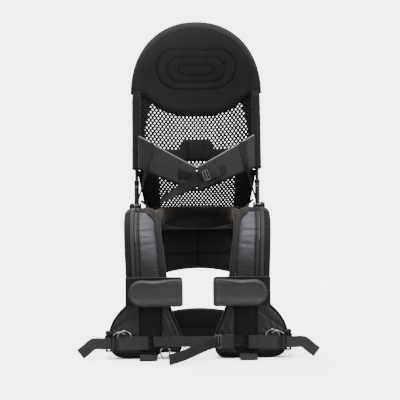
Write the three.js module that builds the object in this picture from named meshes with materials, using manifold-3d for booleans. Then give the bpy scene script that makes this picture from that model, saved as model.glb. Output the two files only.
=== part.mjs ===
// Shoulder-worn child carrier: a padded yoke that rests on an adult's shoulders and chest,
// with a seat behind the neck and a tall, folding, height-adjustable mesh backrest.
// Millimetres. +X is the carrier's right as seen from the front, +Y is the back, +Z is up.
// The floor is z = 0, and the front of the carrier faces -Y.

import * as THREE from "three";
import { mergeVertices } from "three/addons/utils/BufferGeometryUtils.js";
import Module from "manifold-3d";

const wasm = await Module();
wasm.setup();

// ---------------------------------------------------------------- driving dimensions

const ORIGIN_SHIFT_Y = 43.8; // moves the overall box so that its middle is at y = 0

const POST_X = 125; // half the distance between the two posts
const PIVOT_Y = 45; // fold axis of the backrest
const PIVOT_Z = 294;
const LEAN = THREE.MathUtils.degToRad(8.5); // backrest leans back by this much

const ROD_R = 3.5; // sliding rod of the backrest hoop
const POST_R = 5; // outer post tube
const POST_BORE_R = 4;
const POST_TOP = 53; // along the post, from the fold axis
const HEIGHT_TRAVEL = 20; // how far the backrest slides down
const BUTTON_AT = 40; // height button, along the post
const ROD_FOOT = POST_TOP - 24.5; // lower ends of the hoop, inside the posts

const SLEEVE_R = 9; // fabric sleeve round each side of the hoop
const SLEEVE_FROM = 78;
const DOME_Z = 238; // where the straight sides turn into the dome
const DOME_POWER = 2.15;
const ROD_DOME_RISE = 144;
const HEAD_HALF_WIDTH = 135;
const HEAD_RISE = 154;
const SHELL_DEPTH = 55; // how far the middle of the backrest lies behind the posts
const SHELL_RIM = 0.925; // share of the half width where the shell reaches the hoop's plane

const RAIL_R = 6;
const CUT = 0.5; // clearance round a tube that runs through a pad
const GAP = 0.5; // gap between neighbouring soft pieces
const PAD_THICK = 26;

const FRONT_Y = -124; // front face of the chest wings
const WING_THICK = 24;
const WING_TOP = 132;
const REAR_Y = 108; // inner face of the rear pads
const LUMBAR_TOP = 78;

const CUFF_FACE_Y = -131; // front of the ankle cuff's base
const FLAP_AXIS_X = 33;
const FLAP_AXIS_Y = -137;
const FLAP_TIP_X = 134;
const FLAP_LOW_Z = 102;
const FLAP_HEIGHT = 52;

const WEBBING = 20; // chest and belt webbing width
const WIDE_WEBBING = 26;

// ---------------------------------------------------------------- small helpers

const V = (x, y, z) => new THREE.Vector3(x, y, z);
const mix = THREE.MathUtils.lerp;

function volumeOf(geometry) {
  const p = geometry.getAttribute("position");
  const index = geometry.index.array;
  const [a, b, c] = [V(), V(), V()];
  let sum = 0;
  for (let i = 0; i < index.length; i += 3) {
    a.fromBufferAttribute(p, index[i]);
    b.fromBufferAttribute(p, index[i + 1]);
    c.fromBufferAttribute(p, index[i + 2]);
    sum += a.dot(b.cross(c)) / 6;
  }
  return sum;
}

function closedGeometry(points, index) {
  const geometry = new THREE.BufferGeometry().setFromPoints(points);
  geometry.setIndex(index);
  if (volumeOf(geometry) < 0) {
    const turned = [];
    for (let i = 0; i < index.length; i += 3) turned.push(index[i], index[i + 2], index[i + 1]);
    geometry.setIndex(turned);
  }
  return geometry;
}

// A closed body through rings of points, with flat ends.
function loft(rings) {
  const n = rings[0].length;
  const index = [];
  for (let i = 0; i < rings.length - 1; i++)
    for (let j = 0; j < n; j++) {
      const a = i * n + j;
      const b = i * n + ((j + 1) % n);
      index.push(a, b, b + n, a, b + n, a + n);
    }
  const last = (rings.length - 1) * n;
  for (let j = 1; j < n - 1; j++) index.push(0, j + 1, j, last, last + j, last + j + 1);
  return closedGeometry(rings.flat(), index);
}

// A closed body between two surfaces, each given as a function of u and v from 0 to 1.
function slab(front, back, nu, nv) {
  const points = [];
  for (const surface of [front, back])
    for (let i = 0; i <= nu; i++)
      for (let j = 0; j <= nv; j++) points.push(surface(i / nu, j / nv));
  const at = (layer, i, j) => layer * (nu + 1) * (nv + 1) + i * (nv + 1) + j;
  const index = [];
  const quad = (a, b, c, d) => index.push(a, b, c, a, c, d);
  for (let i = 0; i < nu; i++)
    for (let j = 0; j < nv; j++) {
      quad(at(0, i, j), at(0, i + 1, j), at(0, i + 1, j + 1), at(0, i, j + 1));
      quad(at(1, i, j), at(1, i, j + 1), at(1, i + 1, j + 1), at(1, i + 1, j));
    }
  for (let i = 0; i < nu; i++) {
    quad(at(0, i, 0), at(1, i, 0), at(1, i + 1, 0), at(0, i + 1, 0));
    quad(at(0, i, nv), at(0, i + 1, nv), at(1, i + 1, nv), at(1, i, nv));
  }
  for (let j = 0; j < nv; j++) {
    quad(at(0, 0, j), at(0, 0, j + 1), at(1, 0, j + 1), at(1, 0, j));
    quad(at(0, nu, j), at(1, nu, j), at(1, nu, j + 1), at(0, nu, j + 1));
  }
  return closedGeometry(points, index);
}

// A rounded section: a superellipse of the given half width along side and half height along up.
function section(centre, side, up, halfWidth, halfHeight, power = 4, count = 12) {
  const ring = [];
  for (let i = 0; i < count; i++) {
    const angle = (2 * Math.PI * (i + 0.5)) / count;
    const [c, s] = [Math.cos(angle), Math.sin(angle)];
    const across = Math.sign(c) * Math.abs(c) ** (2 / power) * halfWidth;
    const out = Math.sign(s) * Math.abs(s) ** (2 / power) * halfHeight;
    ring.push(centre.clone().addScaledVector(side, across).addScaledVector(up, out));
  }
  return ring;
}

// A flat strip of webbing along a route. Each stop is [centre, direction of the width].
function strap(stops, width, thick) {
  const rings = stops.map(([centre, across], i) => {
    const before = stops[Math.max(i - 1, 0)][0];
    const after = stops[Math.min(i + 1, stops.length - 1)][0];
    const along = after.clone().sub(before).normalize();
    const wide = across.clone().normalize();
    const normal = along.clone().cross(wide).normalize();
    const corner = (w, t) =>
      centre.clone().addScaledVector(wide, (w * width) / 2).addScaledVector(normal, (t * thick) / 2);
    return [corner(-1, -1), corner(1, -1), corner(1, 1), corner(-1, 1)];
  });
  return loft(rings);
}

function roundTube(curve, radius, steps, sides = 10) {
  const circle = new THREE.Shape();
  for (let i = 0; i < sides; i++) {
    const angle = (2 * Math.PI * i) / sides;
    const [x, y] = [radius * Math.cos(angle), radius * Math.sin(angle)];
    if (i === 0) circle.moveTo(x, y);
    else circle.lineTo(x, y);
  }
  return new THREE.ExtrudeGeometry(circle, { steps, extrudePath: curve, bevelEnabled: false });
}

// A cylinder between two points.
function rod(from, to, radius, sides = 16) {
  const along = to.clone().sub(from);
  const turn = new THREE.Quaternion().setFromUnitVectors(V(0, 1, 0), along.clone().normalize());
  const geometry = new THREE.CylinderGeometry(radius, radius, along.length(), sides);
  return geometry.applyQuaternion(turn).translate(...from.clone().addScaledVector(along, 0.5).toArray());
}

function box(low, high) {
  const size = high.clone().sub(low);
  const middle = low.clone().addScaledVector(size, 0.5);
  return new THREE.BoxGeometry(size.x, size.y, size.z).translate(middle.x, middle.y, middle.z);
}

// A plate whose outline is drawn in x and z, from y = near to y = far.
function plate(outline, near, far) {
  const geometry = new THREE.ExtrudeGeometry(outline, {
    depth: far - near,
    bevelEnabled: false,
    curveSegments: 6,
  });
  return geometry.rotateX(Math.PI / 2).translate(0, far, 0);
}

function outlineThrough(points, smooth = 0) {
  if (!smooth) return new THREE.Shape(points.map(([x, z]) => new THREE.Vector2(x, z)));
  const curve = new THREE.CatmullRomCurve3(points.map(([x, z]) => V(x, z, 0)), true, "centripetal");
  return new THREE.Shape(curve.getPoints(smooth).slice(0, -1).map((p) => new THREE.Vector2(p.x, p.y)));
}

function rectangle(x0, z0, x1, z1) {
  return outlineThrough([[x0, z0], [x1, z0], [x1, z1], [x0, z1]]);
}

function manifold(geometry) {
  const bare = geometry.clone();
  bare.deleteAttribute("normal");
  bare.deleteAttribute("uv");
  const merged = mergeVertices(bare, 1e-3);
  return new wasm.Manifold(
    new wasm.Mesh({
      numProp: 3,
      vertProperties: merged.getAttribute("position").array,
      triVerts: new Uint32Array(merged.index.array),
    }),
  );
}

function fromManifold(solid) {
  const mesh = solid.getMesh();
  const geometry = new THREE.BufferGeometry();
  geometry.setAttribute("position", new THREE.Float32BufferAttribute(mesh.vertProperties, 3));
  geometry.setIndex([...mesh.triVerts]);
  return geometry;
}

function mirrored(geometry) {
  const flat = geometry.index ? geometry.toNonIndexed() : geometry;
  const p = flat.getAttribute("position");
  const points = [];
  for (let i = 0; i < p.count; i += 3)
    for (const k of [i, i + 2, i + 1]) points.push(V(-p.getX(k), p.getY(k), p.getZ(k)));
  return new THREE.BufferGeometry().setFromPoints(points);
}

const carve = (geometry, ...cutters) =>
  fromManifold(cutters.reduce((solid, cutter) => solid.subtract(manifold(cutter)), manifold(geometry)));
const join = (...parts) =>
  fromManifold(parts.slice(1).reduce((solid, part) => solid.add(manifold(part)), manifold(parts[0])));

// ---------------------------------------------------------------- materials

const finish = (color, roughness, metalness = 0) =>
  new THREE.MeshStandardMaterial({ color, roughness, metalness });

const MATERIALS = {
  frame_metal: finish(0x2b2b2a, 0.45, 0.8),
  bright_metal: finish(0xb9bcc0, 0.28, 1),
  black_plastic: finish(0x18181a, 0.45),
  padding: finish(0x141414, 0.95),
  head_fabric: finish(0x201f1f, 0.85),
  ripstop: finish(0x4b494f, 0.7),
  coated_grey: finish(0x3b3d3f, 0.55),
  collar_fabric: finish(0x4b443f, 0.9),
  mesh_fabric: finish(0x101012, 0.9),
  webbing: finish(0x2e2d2f, 0.85),
};

const carrier = new THREE.Group();
carrier.position.y = ORIGIN_SHIFT_Y;

// Local frame of the backrest: origin on the fold axis, z along the posts, y backwards.
const leaning = new THREE.Group();
leaning.position.set(0, PIVOT_Y, PIVOT_Z);
leaning.rotation.x = -LEAN;
carrier.add(leaning);

function add(name, geometry, material, group = carrier) {
  const mesh = new THREE.Mesh(geometry, MATERIALS[material]);
  mesh.name = name;
  group.add(mesh);
  return mesh;
}

// The same shape on both sides: drawn on the right, mirrored to the left.
function addPair(name, geometry, material, group = carrier) {
  add(`${name}_right`, geometry, material, group);
  add(`${name}_left`, geometry, material, group).scale.x = -1;
}

// ---------------------------------------------------------------- yoke: profiles over the shoulder

// Outer face of the shoulder pad in y and z, from the chest over the shoulder to the back.
const padProfile = new THREE.CatmullRomCurve3(
  [
    [-124, 133], [-123, 165], [-117, 200], [-104, 235], [-80, 265], [-45, 285], [0, 292],
    [45, 289], [85, 273], [112, 247], [127, 214], [131, 180], [132, 150], [132, 78.5],
  ].map(([y, z]) => V(0, y, z)),
  false,
  "centripetal",
);

// Point on the pad's profile and the direction out of the pad there.
function onProfile(t) {
  const point = padProfile.getPointAt(t);
  const along = padProfile.getTangentAt(t);
  return { point, out: V(0, -along.z, along.y) };
}

// Inner and outer edge of the shoulder pad, along the profile.
const padInner = (t) => (t < 0.35 ? mix(70, 85, Math.min(t / 0.25, 1)) : mix(85, 81, (t - 0.35) / 0.65));
const padOuter = (t) => 138 + 6 * Math.sin(Math.PI * Math.min(t * 1.4, 1)) ** 1.5;

const X_AXIS = V(1, 0, 0);
const Z_AXIS = V(0, 0, 1);

// Side rail: one bent tube from the chest wing over the shoulder into the lumbar pad.
const RAIL_FRONT_Y = FRONT_Y + PAD_THICK / 2;
const RAIL_REAR_Y = REAR_Y + 24 - PAD_THICK / 2;
const RAIL_FOOT_Z = 28;
const railStops = [V(POST_X, RAIL_FRONT_Y, RAIL_FOOT_Z), V(POST_X, RAIL_FRONT_Y, 80)];
for (let i = 0; i <= 12; i++) {
  const { point, out } = onProfile(i / 12);
  railStops.push(V(POST_X, point.y, point.z).addScaledVector(out, -PAD_THICK / 2));
}
railStops.push(V(POST_X, RAIL_REAR_Y, RAIL_FOOT_Z));
const railCurve = new THREE.CatmullRomCurve3(railStops, false, "centripetal");
const railCut = roundTube(railCurve, RAIL_R + CUT, 32, 8);
const railEndCut = (y) => rod(V(POST_X, y, RAIL_FOOT_Z - 4), V(POST_X, y, RAIL_FOOT_Z + 28), RAIL_R + 1, 12);
const railCutRearEnd = railEndCut(RAIL_REAR_Y);
const railCutFrontEnd = railEndCut(RAIL_FRONT_Y);

const UPPER_CROSS = { y: 77, z: 257, r: 5 };
const LOWER_CROSS = { y: REAR_Y + 12, z: 50, r: 5 };
const crossEnd = POST_X - RAIL_R - GAP;
const crossCut = ({ y, z, r }) => rod(V(-POST_X, y, z), V(POST_X, y, z), r + CUT, 12);
const crossTube = ({ y, z, r }) => rod(V(-crossEnd, y, z), V(crossEnd, y, z), r, 16);

const BRACKET_HALF = 9.5;
const BRACKET_BASE_TOP = PIVOT_Z - 7.5;
const BRACKET_SLOT = box(
  V(POST_X - BRACKET_HALF - 1, PIVOT_Y - 15, 262),
  V(POST_X + BRACKET_HALF + 1, PIVOT_Y + 15, PIVOT_Z + 20),
);
const BUTTON_SLOT = box(V(POST_X, PIVOT_Y - 10, 283), V(POST_X + 30, PIVOT_Y + 10, PIVOT_Z + 20));

function frameTubes() {
  addPair("side_rail", roundTube(railCurve, RAIL_R, 32, 8), "frame_metal");
  add("upper_cross_tube", crossTube(UPPER_CROSS), "frame_metal");
  add("lower_cross_tube", crossTube(LOWER_CROSS), "frame_metal");
}

function shoulderPads() {
  const rings = [];
  const steps = 17;
  for (let i = 0; i <= steps; i++) {
    const t = i / steps;
    const { point, out } = onProfile(t);
    const half = (padOuter(t) - padInner(t)) / 2;
    const centre = point.clone().addScaledVector(out, -PAD_THICK / 2);
    centre.x = (padOuter(t) + padInner(t)) / 2;
    rings.push(section(centre, X_AXIS, out, half, PAD_THICK / 2, 4, 12));
  }
  const pad = carve(loft(rings), railCut, BRACKET_SLOT, BUTTON_SLOT, crossCut(UPPER_CROSS));
  addPair("shoulder_pad", pad, "ripstop");
}

// Soft roll that lines the neck opening: up the inner edge of one pad, round the nape, down the other.
function neckCollar() {
  const half = 6.2;
  const arm = (t) => {
    const { point, out } = onProfile(t);
    return { at: point.clone().addScaledVector(out, -14).setX(padInner(t) - half - GAP), up: out };
  };
  const stops = [0.01, 0.08, 0.15, 0.21, 0.27, 0.33, 0.38, 0.42].map(arm);
  stops.push(
    { at: V(74, 26, 278), up: Z_AXIS },
    { at: V(63, 41, 280), up: Z_AXIS },
    { at: V(44, 49, 281), up: Z_AXIS },
    { at: V(22, 53, 282), up: Z_AXIS },
    { at: V(0, 54, 282), up: Z_AXIS },
  );
  const mirrored = stops.slice(0, -1).reverse().map(({ at, up }) => ({ at: V(-at.x, at.y, at.z), up }));
  const all = [...stops, ...mirrored];
  const rings = all.map(({ at, up }, i) => {
    const before = all[Math.max(i - 1, 0)].at;
    const after = all[Math.min(i + 1, all.length - 1)].at;
    const along = after.clone().sub(before).normalize();
    const side = along.clone().cross(up).normalize();
    const square = side.clone().cross(along).normalize();
    return section(at, side, square, half, 12, 3, 10);
  });
  add("neck_collar", loft(rings), "collar_fabric");
}

// ---------------------------------------------------------------- yoke: chest wings and rear pads

const wingOutline = {
  right: [
    [60, 131.5], [137, 131.5], [141, 104], [153, 91], [165, 75], [172, 58], [175, 42], [172, 22], [163, 7],
    [146, 1.5], [120, 0], [60, 0], [42, 2], [33, 12], [31, 32], [35, 52], [44, 74], [53, 98],
  ],
  left: [
    [60, 131.5], [137, 131.5], [141, 104], [153, 91], [165, 75], [172, 58], [175, 42], [172, 22], [163, 7],
    [146, 1.5], [120, 0], [84, 0], [80, 11], [33, 13], [31, 32], [35, 52], [44, 74], [53, 98],
  ],
};

function chestWings() {
  for (const side of ["right", "left"]) {
    const body = plate(outlineThrough(wingOutline[side]), FRONT_Y, FRONT_Y + WING_THICK);
    const wing = add(`chest_wing_${side}`, carve(body, railCut, railCutFrontEnd), "padding");
    if (side === "left") wing.scale.x = -1;
  }
}

function rearPads() {
  const far = REAR_Y + WING_THICK;
  const lumbar = [[-150, 8], [-142, 0], [142, 0], [150, 8], [150, 70], [142, LUMBAR_TOP], [80, LUMBAR_TOP]];
  for (const x of [60, 30, 0, -30, -60]) lumbar.push([x, LUMBAR_TOP - 8 + 6 * (1 - (x / 60) ** 2)]);
  lumbar.push([-80, LUMBAR_TOP], [-142, LUMBAR_TOP], [-150, 70]);
  const cuts = [railCut, railCutRearEnd, mirrored(railCut), mirrored(railCutRearEnd), crossCut(LOWER_CROSS)];
  add("lumbar_pad", carve(plate(outlineThrough(lumbar), REAR_Y, far), ...cuts), "padding");

  const back = [];
  for (const x of [-78, -52, -35, 0, 35, 52, 78]) back.push([x, 152 + 12 * (1 - (x / 78) ** 2)]);
  back.push([78, 262], [-78, 262]);
  add("back_panel", plate(outlineThrough(back), REAR_Y - 4, far - 4), "padding");
}

function seat() {
  add("seat_shell", box(V(-80, 64, 263), V(80, 103.5, 268.5)), "black_plastic");
  const rings = [-79, -74, -40, 0, 40, 74, 79].map((x) => {
    const edge = Math.abs(x) > 78 ? 4 : 0;
    return section(V(x, 84, 283), V(0, 1, 0), Z_AXIS, 21 - edge, 13.8 - edge, 4, 12);
  });
  add("seat_cushion", loft(rings), "collar_fabric");
}

// ---------------------------------------------------------------- hinge of the backrest

const EAR = 4; // thickness of each ear of the clevis
const PIN_R = 3;

function foldHinge() {
  const earIn = POST_X - BRACKET_HALF;
  const earOut = POST_X + BRACKET_HALF;
  const ear = (x0, x1) =>
    join(
      rod(V(x0, PIVOT_Y, PIVOT_Z), V(x1, PIVOT_Y, PIVOT_Z), 8, 20),
      box(V(x0, PIVOT_Y - 8, PIVOT_Z - 14), V(x1, PIVOT_Y + 8, PIVOT_Z)),
    );
  const base = box(V(earIn, PIVOT_Y - 14, 266), V(earOut, PIVOT_Y + 14, BRACKET_BASE_TOP));
  const bezel = carve(
    rod(V(earOut - 0.5, PIVOT_Y, PIVOT_Z), V(earOut + 3.6, PIVOT_Y, PIVOT_Z), 8, 20),
    rod(V(earOut - 2, PIVOT_Y, PIVOT_Z), V(earOut + 8, PIVOT_Y, PIVOT_Z), 5.9, 20),
  );
  const pinHole = rod(V(earIn - 5, PIVOT_Y, PIVOT_Z), V(earOut + 0.1, PIVOT_Y, PIVOT_Z), PIN_R + 0.2, 16);
  const whole = join(base, ear(earIn, earIn + EAR), ear(earOut - EAR, earOut), bezel);
  addPair("fold_bracket", carve(whole, railCut, pinHole), "black_plastic");
  addPair("hinge_pin", rod(V(earIn + 0.2, PIVOT_Y, PIVOT_Z), V(earOut - 0.2, PIVOT_Y, PIVOT_Z), PIN_R), "bright_metal");
  addPair(
    "fold_button",
    rod(V(earOut + 2.4, PIVOT_Y, PIVOT_Z), V(earOut + 6, PIVOT_Y, PIVOT_Z), 5.4, 18),
    "black_plastic",
  );
}

// ---------------------------------------------------------------- posts (they fold, and hold the sliding hoop)

function posts() {
  const knuckleHalf = BRACKET_HALF - EAR - 0.5;
  const across = (radius, half, sides) => rod(V(POST_X - half, 0, 0), V(POST_X + half, 0, 0), radius, sides);
  const up = (from, to, radius, sides = 16) => rod(V(POST_X, 0, from), V(POST_X, 0, to), radius, sides);
  const body = join(
    across(6.3, knuckleHalf, 20),
    up(2, POST_TOP, POST_R),
    up(POST_TOP - 6, POST_TOP + 1, POST_R + 1.2),
  );
  const button = (radius) => rod(V(POST_X, -9, BUTTON_AT), V(POST_X, 0, BUTTON_AT), radius, 14);
  const post = carve(body, across(PIN_R + 0.2, 20, 16), up(7.5, POST_TOP + 5, POST_BORE_R), button(2.8));
  addPair("post_tube", post, "frame_metal", leaning);
  addPair(
    "height_button",
    rod(V(POST_X, -7.8, BUTTON_AT), V(POST_X, -3.9, BUTTON_AT), 2.4, 14),
    "bright_metal",
    leaning,
  );
}

// Depth of the backrest's shell behind the hoop's plane, at x and z in the leaning frame.
function shellDepth(x, z) {
  const rise = Math.max(z - DOME_Z, 0) / HEAD_RISE;
  const share = (Math.abs(x / HEAD_HALF_WIDTH) ** DOME_POWER + rise ** DOME_POWER) ** (1 / DOME_POWER);
  return SHELL_DEPTH * (1 - Math.min(share / SHELL_RIM, 1) ** 2);
}

const domeTop = (x, half, rise) => DOME_Z + rise * (1 - Math.min(Math.abs(x / half), 1) ** DOME_POWER) ** (1 / DOME_POWER);
const headBottom = (x) => 204 + 33 * Math.min(Math.abs(x) / 106, 1) ** 3;

const HEM = { z: 4, halfWidth: 101, depth: 66 };

function hemBar() {
  const side = [
    V(POST_X - POST_R - 2.6, 0, 13), V(113, 9, 11.5), V(107, 26, 9), V(101, 44, 6), V(92, 57, HEM.z),
    V(76, 63, HEM.z), V(48, 65, HEM.z), V(0, HEM.depth, HEM.z),
  ];
  const other = side.slice(0, -1).reverse().map((p) => V(-p.x, p.y, p.z));
  const curve = new THREE.CatmullRomCurve3([...side, ...other], false, "centripetal");
  add("hem_bar", roundTube(curve, 2.5, 36, 8), "frame_metal", leaning);
}

// Lower part of the mesh, from the hem bar up to where the sleeves begin.
function meshApron() {
  const low = HEM.z + 3;
  const high = SLEEVE_FROM - 1;
  const surface = (offset) => (u, v) => {
    const half = mix(HEM.halfWidth, 114, v);
    const x = mix(-half, half, u);
    const bottom = HEM.depth - 9 * (x / HEM.halfWidth) ** 2;
    const top = shellDepth(x, SLEEVE_FROM);
    return V(x, mix(bottom, top, v) + offset, mix(low, high, v));
  };
  add("mesh_apron", slab(surface(-2), surface(2), 12, 4), "mesh_fabric", leaning);
}

// ---------------------------------------------------------------- backrest: hoop, headrest, mesh

function hoop() {
  class HoopCurve extends THREE.Curve {
    getPoint(t, target = new THREE.Vector3()) {
      const low = ROD_FOOT;
      const straight = DOME_Z - low;
      const arc = 400;
      const s = t * (2 * straight + arc);
      if (s <= straight) return target.set(-POST_X, 0, low + s);
      if (s >= straight + arc) return target.set(POST_X, 0, DOME_Z - (s - straight - arc));
      const angle = Math.PI * (1 - (s - straight) / arc);
      const [c, q] = [Math.cos(angle), Math.sin(angle)];
      const power = 2 / DOME_POWER;
      return target.set(
        Math.sign(c) * Math.abs(c) ** power * POST_X,
        0,
        DOME_Z + Math.abs(q) ** power * ROD_DOME_RISE,
      );
    }
  }
  const slots = [-1, 1].map((side) =>
    box(V(side * POST_X - 2.7, -6, BUTTON_AT - 3), V(side * POST_X + 2.7, -0.8, BUTTON_AT + HEIGHT_TRAVEL + 3)),
  );
  add("backrest_hoop", carve(roundTube(new HoopCurve(), ROD_R, 40, 8), ...slots), "frame_metal", leaning);
  return new HoopCurve();
}

function headrest(hoopCurve) {
  const surface = (side) => (u, v) => {
    const x = HEAD_HALF_WIDTH * Math.sin((u - 0.5) * Math.PI) * 0.999;
    const z = mix(headBottom(x), domeTop(x, HEAD_HALF_WIDTH, HEAD_RISE), 1 - (1 - v) ** 1.7);
    return V(x, shellDepth(x, z) + side * 8.5, z);
  };
  const pad = slab(surface(-1), surface(1), 16, 8);
  add("headrest_pad", carve(pad, roundTube(hoopCurve, ROD_R + 0.6, 40, 8)), "head_fabric", leaning);
}

function sleeves() {
  const top = headBottom(POST_X - SLEEVE_R) - 1.5;
  const outer = rod(V(POST_X, 0, SLEEVE_FROM), V(POST_X, 0, top), SLEEVE_R, 14);
  const bore = rod(V(POST_X, 0, SLEEVE_FROM - 5), V(POST_X, 0, top + 5), ROD_R + 0.5, 12);
  addPair("side_sleeve", carve(outer, bore), "padding", leaning);
}

function meshPanel() {
  const half = POST_X - SLEEVE_R - GAP;
  const surface = (offset) => (u, v) => {
    const x = mix(-half, half, u);
    const z = mix(SLEEVE_FROM, headBottom(x) - 1, v);
    return V(x, shellDepth(x, z) + offset, z);
  };
  add("mesh_panel", slab(surface(-2), surface(2), 14, 6), "mesh_fabric", leaning);
}

// ---------------------------------------------------------------- child's belt

function beltBackPad() {
  const surface = (offset) => (u, v) => {
    const x = mix(-104, 104, u);
    const middle = Math.max(0, 1 - Math.max(Math.abs(x) - 30, 0) / 14);
    const z = mix(104, 127 + 22 * middle, v);
    return V(x, shellDepth(x, z) - 3 + offset, z);
  };
  add("belt_back_pad", slab(surface(-9), surface(0), 16, 3), "padding", leaning);
}

const wingFront = (x) => -(18 + 18 * (1 - (x / 122) ** 2));

function beltWings() {
  const surface = (offset) => (u, v) => {
    const x = mix(0.6, 121, u);
    const [low, high] = [mix(26, 78, u), mix(77, 148, u ** 1.1)];
    return V(x, wingFront(x) + offset, mix(low, high, v));
  };
  addPair("belt_wing", slab(surface(0), surface(8), 10, 4), "coated_grey", leaning);
}

// A side-release buckle in its own frame: x along the webbing, pulled apart towards -x.
function buckleTongue(width) {
  const bar = (x0, x1) => box(V(x0, -3.5, -width / 2 - 2), V(x1, 3.5, width / 2 + 2));
  const frame = carve(
    bar(-14, -0.6),
    box(V(-11.5, -9, -width / 2), V(-8.6, 9, width / 2)),
    box(V(-5.8, -9, -width / 2), V(-3, 9, width / 2)),
  );
  const blade = box(V(-1.5, -1.5, -3), V(13, 1.5, 3));
  const prong = (side) =>
    box(V(-1.5, -2, Math.min(side * width * 0.3, side * width * 0.45)), V(11, 2, Math.max(side * width * 0.3, side * width * 0.45)));
  return join(frame, blade, prong(1), prong(-1));
}

function buckleHousing(width) {
  const half = width / 2 + 2.5;
  const body = box(V(0, -4.5, -half), V(22, 4.5, half));
  const cavity = box(V(-2, -2.5, -half + 3), V(15.5, 2.5, half - 3));
  const eye = box(V(17.5, -9, -width / 2), V(20, 9, width / 2));
  const windows = [1, -1].map((side) =>
    box(V(4, -9, side > 0 ? half - 1.6 : -half - 1), V(13, 9, side > 0 ? half + 1 : -half + 1.6)),
  );
  return carve(body, cavity, eye, ...windows);
}

const BELT_TILT = THREE.MathUtils.degToRad(20);
const BELT_BUCKLE = V(26, -42.5, 60);

function beltBuckle() {
  const frame = new THREE.Group();
  frame.position.copy(BELT_BUCKLE);
  frame.rotation.y = -BELT_TILT;
  leaning.add(frame);
  add("belt_buckle_housing", buckleHousing(18), "black_plastic", frame);
  add("belt_buckle_tongue", buckleTongue(18), "black_plastic", frame);
  const stops = [
    [-34, 62], [-20, 58], [-6, 54.5], [6, 53.8],
  ].map(([x, z]) => [V(x, wingFront(Math.abs(x)) - 2.2 - (x > 0 ? 2.8 : 0), z), V(0.1, 0, 1)]);
  add("belt_strap", strap(stops, 17, 1.8), "webbing", leaning);
  const tail = [
    [2, -46, 43], [-16, -41.5, 35], [-38, -36, 26], [-58, -19, 18], [-74, -3, 13],
  ].map(([x, y, z]) => [V(x, y, z), V(0.42, 0, 0.9)]);
  add("belt_tail", strap(tail, WEBBING, 1.8), "webbing", leaning);
}

function lifterStraps() {
  const stops = [
    [97, wingFront(97) - 2.5, 138, V(1, 0, 0)],
    [97, wingFront(97) - 2.5, 108, V(1, 0, 0)],
    [99, wingFront(99) - 3.8, 80, V(1, 0.1, 0.1)],
    [106, wingFront(106) - 1.6, 58, V(1, 0, 0.1)],
    [115, -13, 34, V(0.8, -0.4, 0.1)],
    [123, -7.6, 16, V(1, 0, 0.1)],
  ].map(([x, y, z, wide]) => [V(x, y, z), wide]);
  addPair("lifter_strap", strap(stops, 14, 1.6), "webbing", leaning);
}

// ---------------------------------------------------------------- ankle cuffs on the chest

function ankleCuffs() {
  const high = FLAP_LOW_Z + FLAP_HEIGHT;
  const base = box(V(FLAP_AXIS_X + 2, CUFF_FACE_Y, FLAP_LOW_Z + 1), V(140, CUFF_FACE_Y + 4, high + 3));
  const fold = box(V(FLAP_AXIS_X - 6, CUFF_FACE_Y - 5.3, FLAP_LOW_Z + 2), V(FLAP_AXIS_X + 3, CUFF_FACE_Y + 3, high));
  addPair("cuff_base", join(base, fold), "padding");

  const round = FLAP_HEIGHT / 2;
  const flap = new THREE.Shape();
  flap.moveTo(FLAP_AXIS_X + 1, FLAP_LOW_Z);
  flap.lineTo(FLAP_TIP_X - round, FLAP_LOW_Z);
  flap.absarc(FLAP_TIP_X - round, FLAP_LOW_Z + round, round, -Math.PI / 2, Math.PI / 2, false);
  flap.lineTo(FLAP_AXIS_X + 1, high);
  addPair("ankle_flap", plate(flap, FLAP_AXIS_Y - 10, FLAP_AXIS_Y - 2), "coated_grey");
}

// ---------------------------------------------------------------- webbing and hardware at the foot

const STRAP_MID_Z = 31;

function sideStraps() {
  const front = FRONT_Y - 1.9;
  addPair(
    "side_anchor",
    box(V(98, front - 1.3, STRAP_MID_Z - 13), V(159, front + 1.3, STRAP_MID_Z + 13)),
    "webbing",
  );
  const slot = (x0, x1) => box(V(x0, front - 9, STRAP_MID_Z - 13), V(x1, front + 9, STRAP_MID_Z + 13));
  const slider = carve(
    box(V(159.6, front - 3.4, STRAP_MID_Z - 16), V(180, front + 1.4, STRAP_MID_Z + 16)),
    slot(163.4, 166.8),
    slot(172.6, 176),
  );
  addPair("ladder_slider", slider, "black_plastic");

  const under = [
    [151.6, 126], [156, 100], [168, 60], [178, 0], [181, -60], [181, -112],
  ].map(([x, y]) => [V(x, y, STRAP_MID_Z), Z_AXIS]);
  addPair("side_strap", strap(under, WIDE_WEBBING, 2), "webbing");

  const tail = [
    [181.5, -126, 31, V(0, 0, 1)],
    [196, -127, 29, V(0, 0.1, 1)],
    [211, -128, 24, V(0.2, 0.2, 1)],
    [224, -127, 18, V(0.55, 0.1, 0.85)],
    [234, -126, 10.5, V(0.75, -0.1, 0.65)],
  ].map(([x, y, z, wide]) => [V(x, y, z), wide]);
  addPair("side_tail", strap(tail, WEBBING, 1.8), "webbing");

  const ring = new THREE.TorusGeometry(12, 1.4, 6, 18).rotateX(Math.PI / 2).scale(1.1, 1, 1);
  addPair("side_ring", ring.rotateX(0.05).translate(143.5, FRONT_Y - 6.2, STRAP_MID_Z + 12), "bright_metal");
}

const CHEST_Y = -133;
const CHEST_MID_Z = 33.5;

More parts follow.
